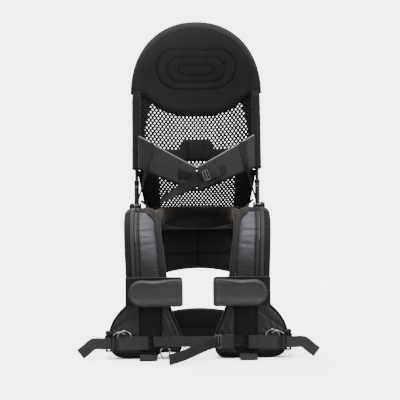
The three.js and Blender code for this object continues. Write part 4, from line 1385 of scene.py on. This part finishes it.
def neck_seam_height(x):
    return 261 - 13 * (1 - (x / 82) ** 2)


def neck_liner():
    """Cloth under the seat: it hangs from the collar to a curved seam, then runs back to the back panel."""
    u, v = np.meshgrid(np.linspace(0, 1, 70), np.linspace(0, 1, 40), indexing="ij")
    x = mix(-82, 82, u)
    drop = smooth(v / 0.4)
    back = np.clip((v - 0.4) / 0.6, 0, 1)
    seam_z = neck_seam_height(x)
    y = mix(57, 62, drop) + 42 * back
    z = mix(276, seam_z, drop) + (246 - seam_z) * back + 0.6 * ripple(xyz(x, y, 0), 15)
    mid = xyz(x, y, z)
    across = unit(np.gradient(mid, axis=0))
    along = unit(np.gradient(mid, axis=1))
    made = pillow("neck_liner", mid, unit(np.cross(across, along)), 0.9, 0.9, BLACK, "yoke", corner=1.2)
    x = np.linspace(-80, 80, 60)
    tube("neck_seam", xyz(x, 61, neck_seam_height(x)), 1.3, TAPE, "yoke", 8)


def seat_pad():
    """Seat cushion: a low crowned pad that lies on the seat plate."""
    u, v = np.meshgrid(eased(110), eased(40), indexing="ij")
    x, y = mix(-79, 79, u), mix(63.5, 104.5, v)
    mid = xyz(x, y, 281)
    crown = 11.5 + 2.2 * np.cos(x / 79 * math.pi / 2) * np.cos((y - 84) / 20.5 * math.pi / 2)
    top = crown - 1.6 * groove(np.abs(x) - 40, 2.5) + 0.5 * ripple(mid, 20)
    pad = pillow("seat_pad", mid, (0, 0, -1), top, 11.6, BLACK, "yoke", corner=7)
    stands_for(pad, "seat_cushion")


# The outline of a chest wing in x and z: its top and outer side, its foot, and its inner side.
WING_TOP = [(60, 131), (100, 131.2), (137, 131), (141, 104), (153, 91), (165, 75), (172, 58), (175, 42),
            (172, 22), (163, 7.5), (146, 1.8), (120, 0.6)]  # fmt: skip
WING_FOOT = {
    "right": [(90, 0.5), (60, 0.8), (42, 2.6), (33.5, 12), (31, 32)],
    "left": [(100, 0.5), (84, 1.2), (74, 11), (54, 13), (36, 13.5), (31.5, 32)],
}
WING_INSIDE = [(35, 52), (44, 74), (53, 98)]
WING_MIDDLE = np.array((102, 62))
WING_SEAMS = (72, 113)


def chest_wing_relief(x, z, edge, seed):
    """Grooves at the seams of a chest wing, with folds that fan out from where its straps pull."""
    near, far = WING_SEAMS
    bands = groove(x - near, 1.8) * (z > 12) + groove(x - far, 1.8) * (z > 8)
    diagonal = groove((x - 128) * 0.6 + (z - 84) * 0.8, 1.8) * (x > far)
    inner = groove((x - 52) * 0.82 - (z - 62) * 0.35, 1.6) * (x < near)
    base = groove(z - 13, 1.8) * (x > near)
    cloud = ripple(xyz(x, 0, z), 24, seed)
    for hub_x, hub_z, count in ((150, 36, 15), (60, 30, 13)):
        turn, away = np.arctan2(z - hub_z, x - hub_x), np.hypot(x - hub_x, z - hub_z)
        fold = np.sin(turn * count + ripple(xyz(x, 0, z), 30, hub_x) * 2)
        cloud = cloud + 0.9 * fold * smooth(away / 12) * (1 - smooth((away - 22) / 38)) * (z > hub_z - 6)
    sewn = np.minimum(bands + diagonal + inner + base, 1)
    return cloud * smooth(edge / 10) - 2.2 * sewn * smooth(edge / 8)


def chest_wing_zones(centres):
    """2, the dark ripstop, on the front beside the middle panel, and 1, the spacer mesh, elsewhere."""
    x, y, z = np.abs(centres[:, 0]), centres[:, 1], centres[:, 2]
    gloss = (z >= 13) & ((x < WING_SEAMS[0]) | (x > WING_SEAMS[1]))
    return np.where((y <= FRONT_Y + 12) & gloss, 2, 1)


def chest_wings():
    for side, sign in SIDES:
        outline = smooth_loop(WING_TOP + WING_FOOT[side] + WING_INSIDE, 240)

        def relief(x, z, edge):
            return chest_wing_relief(np.abs(x), z, edge, 3.0 * sign)

        def sewn(p):
            return (np.abs(relief(p[:, 0], p[:, 2], np.full(len(p), 20.0))) > 1.6) * 0.9

        shape = (outline * [sign, 1], WING_MIDDLE * [sign, 1], FRONT_Y, FRONT_Y + 24)
        looks = [BLACK, SPACER, RIPSTOP_DARK]
        wing = disc_pad(f"wing_pad_{side}", *shape, looks, "yoke", 9, relief, chest_wing_zones)
        puff(wing, sewn)
        stands_for(wing, f"chest_wing_{side}")
        rim = WING_MIDDLE + 0.975 * (outline - WING_MIDDLE)
        for name, y in (("front", FRONT_Y + 2.3), ("back", FRONT_Y + 21.7)):
            piping(f"wing_rim_{name}_{side}", xyz(sign * rim[:, 0], y, rim[:, 1]), 1.9, closed=True)
        z = np.linspace(16, 100, 40)
        for x in WING_SEAMS:
            piping(f"wing_panel_seam_{side}_{x}", xyz(sign * x, FRONT_Y + 0.6, z), 1.5)
            for k, lift in enumerate((-2.4, 2.4)):
                path = xyz(sign * (x + lift), FRONT_Y - 0.2, z)
                stitches(f"wing_seam_{side}_{x}_{k}", path, "yoke", 3.8)


FLAP_LOW, FLAP_HIGH, FLAP_TIP, FLAP_ROOT = 102, 154, 134, 30.8
FLAP_MIDDLE = np.array((84, 128))


def flap_outline():
    """A straight lower edge, a round tip and an upper edge that lifts towards the hinge."""
    r = (FLAP_HIGH - FLAP_LOW) / 2
    tip = FLAP_TIP - r

    def lip(x):
        return 1.7 * smooth((84 - x) / 50) - 1.2 * math.exp(-(((x - 84) / 16) ** 2))

    turn = np.linspace(-math.pi / 2, math.pi / 2, 50)
    outline = [(tip + r * math.cos(a), FLAP_LOW + r + r * math.sin(a)) for a in turn]
    outline += [(x, FLAP_HIGH + lip(x)) for x in np.linspace(tip - 3, 33.6, 26)]
    outline += [(31.2, FLAP_HIGH + 0.4), (FLAP_ROOT, FLAP_HIGH - 2)]
    outline += [(FLAP_ROOT, z) for z in np.linspace(FLAP_HIGH - 6, FLAP_LOW + 6, 18)]
    outline += [(FLAP_ROOT, FLAP_LOW + 3), (31.2, FLAP_LOW + 1.2)]
    outline += [(x, FLAP_LOW) for x in np.linspace(33.6, tip - 3, 26)]
    return np.array(outline)


def cuffs():
    """Ankle cuffs: a flat padded base on the yoke and a smooth flap that opens on its inner edge."""
    outline = flap_outline()
    for side, sign in SIDES:
        u, v = np.meshgrid(eased(80), eased(40), indexing="ij")
        mid = xyz(sign * mix(30, 140.5, u), -129.2, mix(103, 157, v))
        front = 2.0 + 0.3 * ripple(mid, 14)
        base = pillow(f"cuff_{side}", mid, (0, 1, 0), front, 2.2, BLACK, "yoke", corner=2.5)
        stands_for(base, f"cuff_base_{side}")

        def relief(x, z, edge):
            share = (z - FLAP_LOW) / (FLAP_HIGH - FLAP_LOW)
            rim = 1.2 * groove(edge - 6, 3.4) - 1.1 * groove(share - 0.44, 0.17)
            roll = 1.7 * groove(share - 0.17, 0.1) + 2.0 * groove(share - 0.86, 0.09)
            cloud = ripple(xyz(x * 0.6, 0, z), 26, 6.0 * sign)
            return (rim + roll + 0.7 * cloud) * smooth(edge / 5)

        body = f"ankle_flap_{side}"
        shape = (outline * [sign, 1], FLAP_MIDDLE * [sign, 1], -147, -139)
        flap = disc_pad(f"flap_{side}", *shape, COATED, body, 4.2, relief, rings=34)
        stands_for(flap, body)
        inset = FLAP_MIDDLE + 0.955 * (outline - FLAP_MIDDLE)
        path = xyz(sign * inset[:, 0], -147.3, inset[:, 1])
        stitches(f"flap_stitches_{side}", np.vstack([path, path[:1]]), body, 3.4)
        flap_hinge(side, sign)
        x = np.linspace(33, 139, 70)
        tube(f"cuff_binding_{side}", xyz(sign * x, -130.6, 157.2), 1.5, TAPE, "yoke", 8)


def flap_hinge(side, sign):
    """The folded strip of cloth that a flap turns on."""
    u, v = np.meshgrid(np.linspace(0, 1, 16), np.linspace(0, 1, 30), indexing="ij")
    turn = mix(-0.35, 1.0, u) * math.pi / 2
    x = 33.5 - 3.6 * np.cos(turn)
    y = -134.5 - 7.5 * np.sin(turn)
    mid = xyz(sign * x, y, mix(FLAP_LOW + 3, FLAP_HIGH - 3, v))
    normal = unit(xyz(-sign * np.cos(turn), -np.sin(turn), 0))
    hinge = pillow(f"flap_hinge_{side}", mid, normal, 0.8, 0.8, COATED, None, corner=1)
    start, end = tuple(row((sign * 30, -132, 128))), tuple(row((sign * 33, -142, 128)))
    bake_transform(hinge)


# ------------------------------------------------------------------ webbing and hardware at the foot

STRAP_Z = 31
CHEST_Z = 33.5
D_X = -64.5
SLIDER_BARS = (  # the ends in x, then the foot and the head from the middle of the strap
    ((159.6, 162.6), -16, 16),
    ((166.8, 171.6), -16, 16),
    ((176.4, 180), -16, 16),
    ((159.6, 180), 12.8, 16),
    ((159.6, 180), -16, -12.8),
)


def upright(points, z=STRAP_Z):
    """Stops of a strap that stands on edge, at the height z."""
    return [(x, y, z, 0, 0, 1) for x, y in points]


def foot_webbing():
    front = FRONT_Y - 1.9
    for side, sign in SIDES:
        steps = [(97, 0.6), (110, -0.7), (135, -0.9), (156, -0.8), (169, -1.6)]
        stops = upright([(x, front + y) for x, y in steps])
        made = ribbon(f"anchor_{side}", flip(stops, sign), 26, 1.7, WEB, "yoke", 50, 0.3)
        stands_for(made, f"side_anchor_{side}")
        tack = np.array((sign * 156.5, front - 1.9, STRAP_Z))
        bartack(f"anchor_bartack_{side}", tack, (0, 0, 1), (0, -1, 0), 20, "yoke", 14)

        bars = []
        for ends, foot, head in SLIDER_BARS:
            low, high = span(sign, *ends)
            bars.append(((low, front - 3.2, STRAP_Z + foot), (high, front + 1.2, STRAP_Z + head)))
        stands_for(bevelled(f"slider_{side}", bars, PLASTIC, "yoke", 0.9), f"ladder_slider_{side}")

        route = [(151.6, 127), (156, 100), (168, 60), (178, 0), (181, -60), (181.5, -112), (176, -123.4)]
        stops = upright(route)
        made = ribbon(f"under_arm_{side}", flip(stops, sign), 25, 1.8, WEB, "yoke", 120, 1.2, 2.0 * sign)
        stands_for(made, f"side_strap_{side}")
        tack = np.array((sign * 152.6, 124, STRAP_Z))
        bartack(f"under_arm_bartack_{side}", tack, (0, 0, 1), (sign, 0, 0), 20, "yoke", 14)

        stops = [(170, front - 2.6, 31, 0, 0, 1), (184, -128.4, 31, 0, 0, 1), (198, -129, 31.5, 0, 0, 1),
                 (204, -129.2, 30.5, 0.1, 0.05, 1), (209, -129, 27, 0.4, 0.1, 0.9),
                 (218, -128, 19, 0.62, 0.1, 0.78), (229, -126.5, 10.5, 0.62, 0, 0.78)]  # fmt: skip
        made = ribbon(f"tail_{side}", flip(stops, sign), 22, 1.6, WEB, "yoke", 90, 0.8, 8.0 * sign)
        stands_for(made, f"side_tail_{side}")

        turn = np.linspace(0, 2 * math.pi, 49)[:-1]
        rise = np.sin(turn)
        ring = xyz(sign * (143.5 + 13.2 * np.cos(turn)), -125.6 - 1.8 * rise, 43 + 12 * rise)
        stands_for(tube(f"ring_{side}", ring, 1.15, CHROME, "yoke", 12, closed=True), f"side_ring_{side}")
        hook = [(165, 47), (160, 51), (153, 53), (147, 52), (142, 49)]
        path = spline([(sign * x, -129.4, z) for x, z in hook], 40)
        tube(f"ring_hook_{side}", path, 1.2, CHROME, "yoke", 10)
        stop = [(0, 2), (0.1, 4), (0.5, 4.8), (0.9, 4), (1, 2)]
        turned(f"cord_stop_{side}", (sign * 166, -127.5, 50), (sign * 180, -127, 53), stop, PLASTIC, "yoke")

        route = [(-126.0, 4.0), (-130, 7.6), (-138, 7.6), (-150, 4.6), (-163, 2.2)]
        line = [(sign * 96, y, z, 1, 0, 0) for y, z in route]
        stands_for(ribbon(f"tab_{side}", line, 34, 2.2, WEB_BLACK, "yoke", 30), f"foot_tab_{side}")


def chest_strap():
    route = [(-87, FRONT_Y - 1.4), (-70, FRONT_Y - 2.4), (-40, -129.2), (-10, -132.6), (34, -132.6)]
    made = ribbon("chest_webbing", upright(route, CHEST_Z), 20, 1.6, WEB, "yoke", 70, 0.5)
    stands_for(made, "chest_strap")
    anchor = tuple(row((*route[0], CHEST_Z)))
    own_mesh(made)
    side_release("chest", 22, in_chest, "yoke")
    bartack("chest_bartack", np.array((28.5, -134.4, 34)), (0, 0, 1), (0, -1, 0), 14, "chest_tongue", 10)
    stops = upright([(64.5, -133.2), (70, -132.6), (78, -128), (88, FRONT_Y - 1.2)], CHEST_Z)
    ribbon("buckle_anchor", stops, 21, 1.6, WEB_BLACK, "yoke", 30)
    tail = [(38, -136.2, 33, 0, 0, 1), (31, -139.5, 32, 0, 0, 1), (20, -146, 29.5, 0, 0.1, 1),
            (2, -162, 24, 0, 0.12, 1), (-18, -184, 17.4, 0, 0.1, 1), (-37, -208, 13.2, 0, 0.05, 1),
            (-54, -231.5, 11.2, 0, 0, 1)]  # fmt: skip
    stands_for(ribbon("chest_end", tail, 20.5, 1.6, WEB_DULL, "chest_tongue", 90, 0.7), "chest_tail")


def d_ring():
    """The small ring on the left chest wing and the tape that holds it."""
    turn = np.linspace(math.pi, 2 * math.pi, 30)
    bow = xyz(D_X + 8.4 * np.cos(turn), -129, 11 + 9 * np.sin(turn))
    bar = [(D_X + x, -129, 19.3) for x in (6, 0, -6)]
    wire = [(D_X - 8.4, -129, 18.4), *bow, (D_X + 8.4, -129, 18.4), *bar]
    made = tube("d_ring_wire", smooth_loop(wire, 90), 1.45, CHROME, "d_ring", 12, closed=True)
    stands_for(made, "d_ring")
    loop = [(-125.2, 26), (-126.8, 21), (-130.8, 17.4), (-131.6, 20.5), (-127.5, 25)]
    stops = [(D_X, y, z, 1, 0, 0) for y, z in loop]
    ribbon("d_ring_loop", stops, 12, 0.9, WEB_BLACK, "yoke", 40)


def cad_finish():
    """Materials for the CAD nodes that stay."""
    for name in ("upper_cross_tube", "lower_cross_tube", "side_rail_left", "side_rail_right", "seat_shell"):
        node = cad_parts[name]
        look = PLASTIC if name == "seat_shell" else TUBE
        node.data.materials.clear()
        node.data.materials.append(look.material)


# ------------------------------------------------------------------ floor, sky and lights

SKY_SEEN, SKY_LIGHT = 5.2, 0.19
FLOOR_SEEN, FLOOR_LIT = 4.2, 0.4


def camera_only(tree, seen, lit):
    """A strength that is `seen` for the camera and `lit` for every other ray."""
    path = tree.nodes.new("ShaderNodeLightPath")
    switch = tree.nodes.new("ShaderNodeMix")
    switch.inputs[2].default_value = lit
    switch.inputs[3].default_value = seen
    tree.links.new(path.outputs["Is Camera Ray"], switch.inputs[0])
    return switch.outputs[0]


def studio():
    floor = bpy.data.meshes.new("floor")
    floor.from_pydata([(-9, -6, 0), (9, -6, 0), (9, 12, 0), (-9, 12, 0)], [], [(0, 1, 2, 3)])
    ground = bpy.data.objects.new("floor", floor)
    bpy.context.scene.collection.objects.link(ground)
    pale = bpy.data.materials.new("pale_floor")
    pale.use_nodes = True
    tree = pale.node_tree
    tree.nodes.clear()
    diffuse = tree.nodes.new("ShaderNodeBsdfDiffuse")
    shade = tree.nodes.new("ShaderNodeCombineColor")
    for channel in range(3):
        tree.links.new(camera_only(tree, FLOOR_SEEN, FLOOR_LIT), shade.inputs[channel])
    tree.links.new(shade.outputs[0], diffuse.inputs["Color"])
    output = tree.nodes.new("ShaderNodeOutputMaterial")
    tree.links.new(diffuse.outputs[0], output.inputs["Surface"])
    floor.materials.append(pale)

    world = bpy.data.worlds.new("studio")
    bpy.context.scene.world = world
    world.use_nodes = True
    background = world.node_tree.nodes["Background"]
    background.inputs["Color"].default_value = (1, 1, 1, 1)
    strength = camera_only(world.node_tree, SKY_SEEN, SKY_LIGHT)
    world.node_tree.links.new(strength, background.inputs["Strength"])

    def sun(name, direction, spread, power):
        data = bpy.data.lights.new(name, "SUN")
        data.angle = math.radians(spread)
        data.energy = power
        made = bpy.data.objects.new(name, data)
        bpy.context.scene.collection.objects.link(made)
        made.rotation_euler = Vector(direction).to_track_quat("-Z", "Y").to_euler()

    sun("over", (0.05, 0.14, -1.0), 40, 2.5)
    sun("left", (1.0, 0.9, -0.5), 40, 0.18)
    sun("right", (-1.0, 0.8, -0.6), 40, 0.9)
    sun("behind", (0.5, -1.0, -0.7), 50, 1.3)


headrest()
hoop()
net()
belt_wings()
back_pad()
belt_front()
lifters()
posts()
shoulder_pads()
collar()
back_cushion()
lumbar_cushion()
neck_liner()
seat_pad()
chest_wings()
cuffs()
foot_webbing()
chest_strap()
d_ring()
cad_finish()
studio()
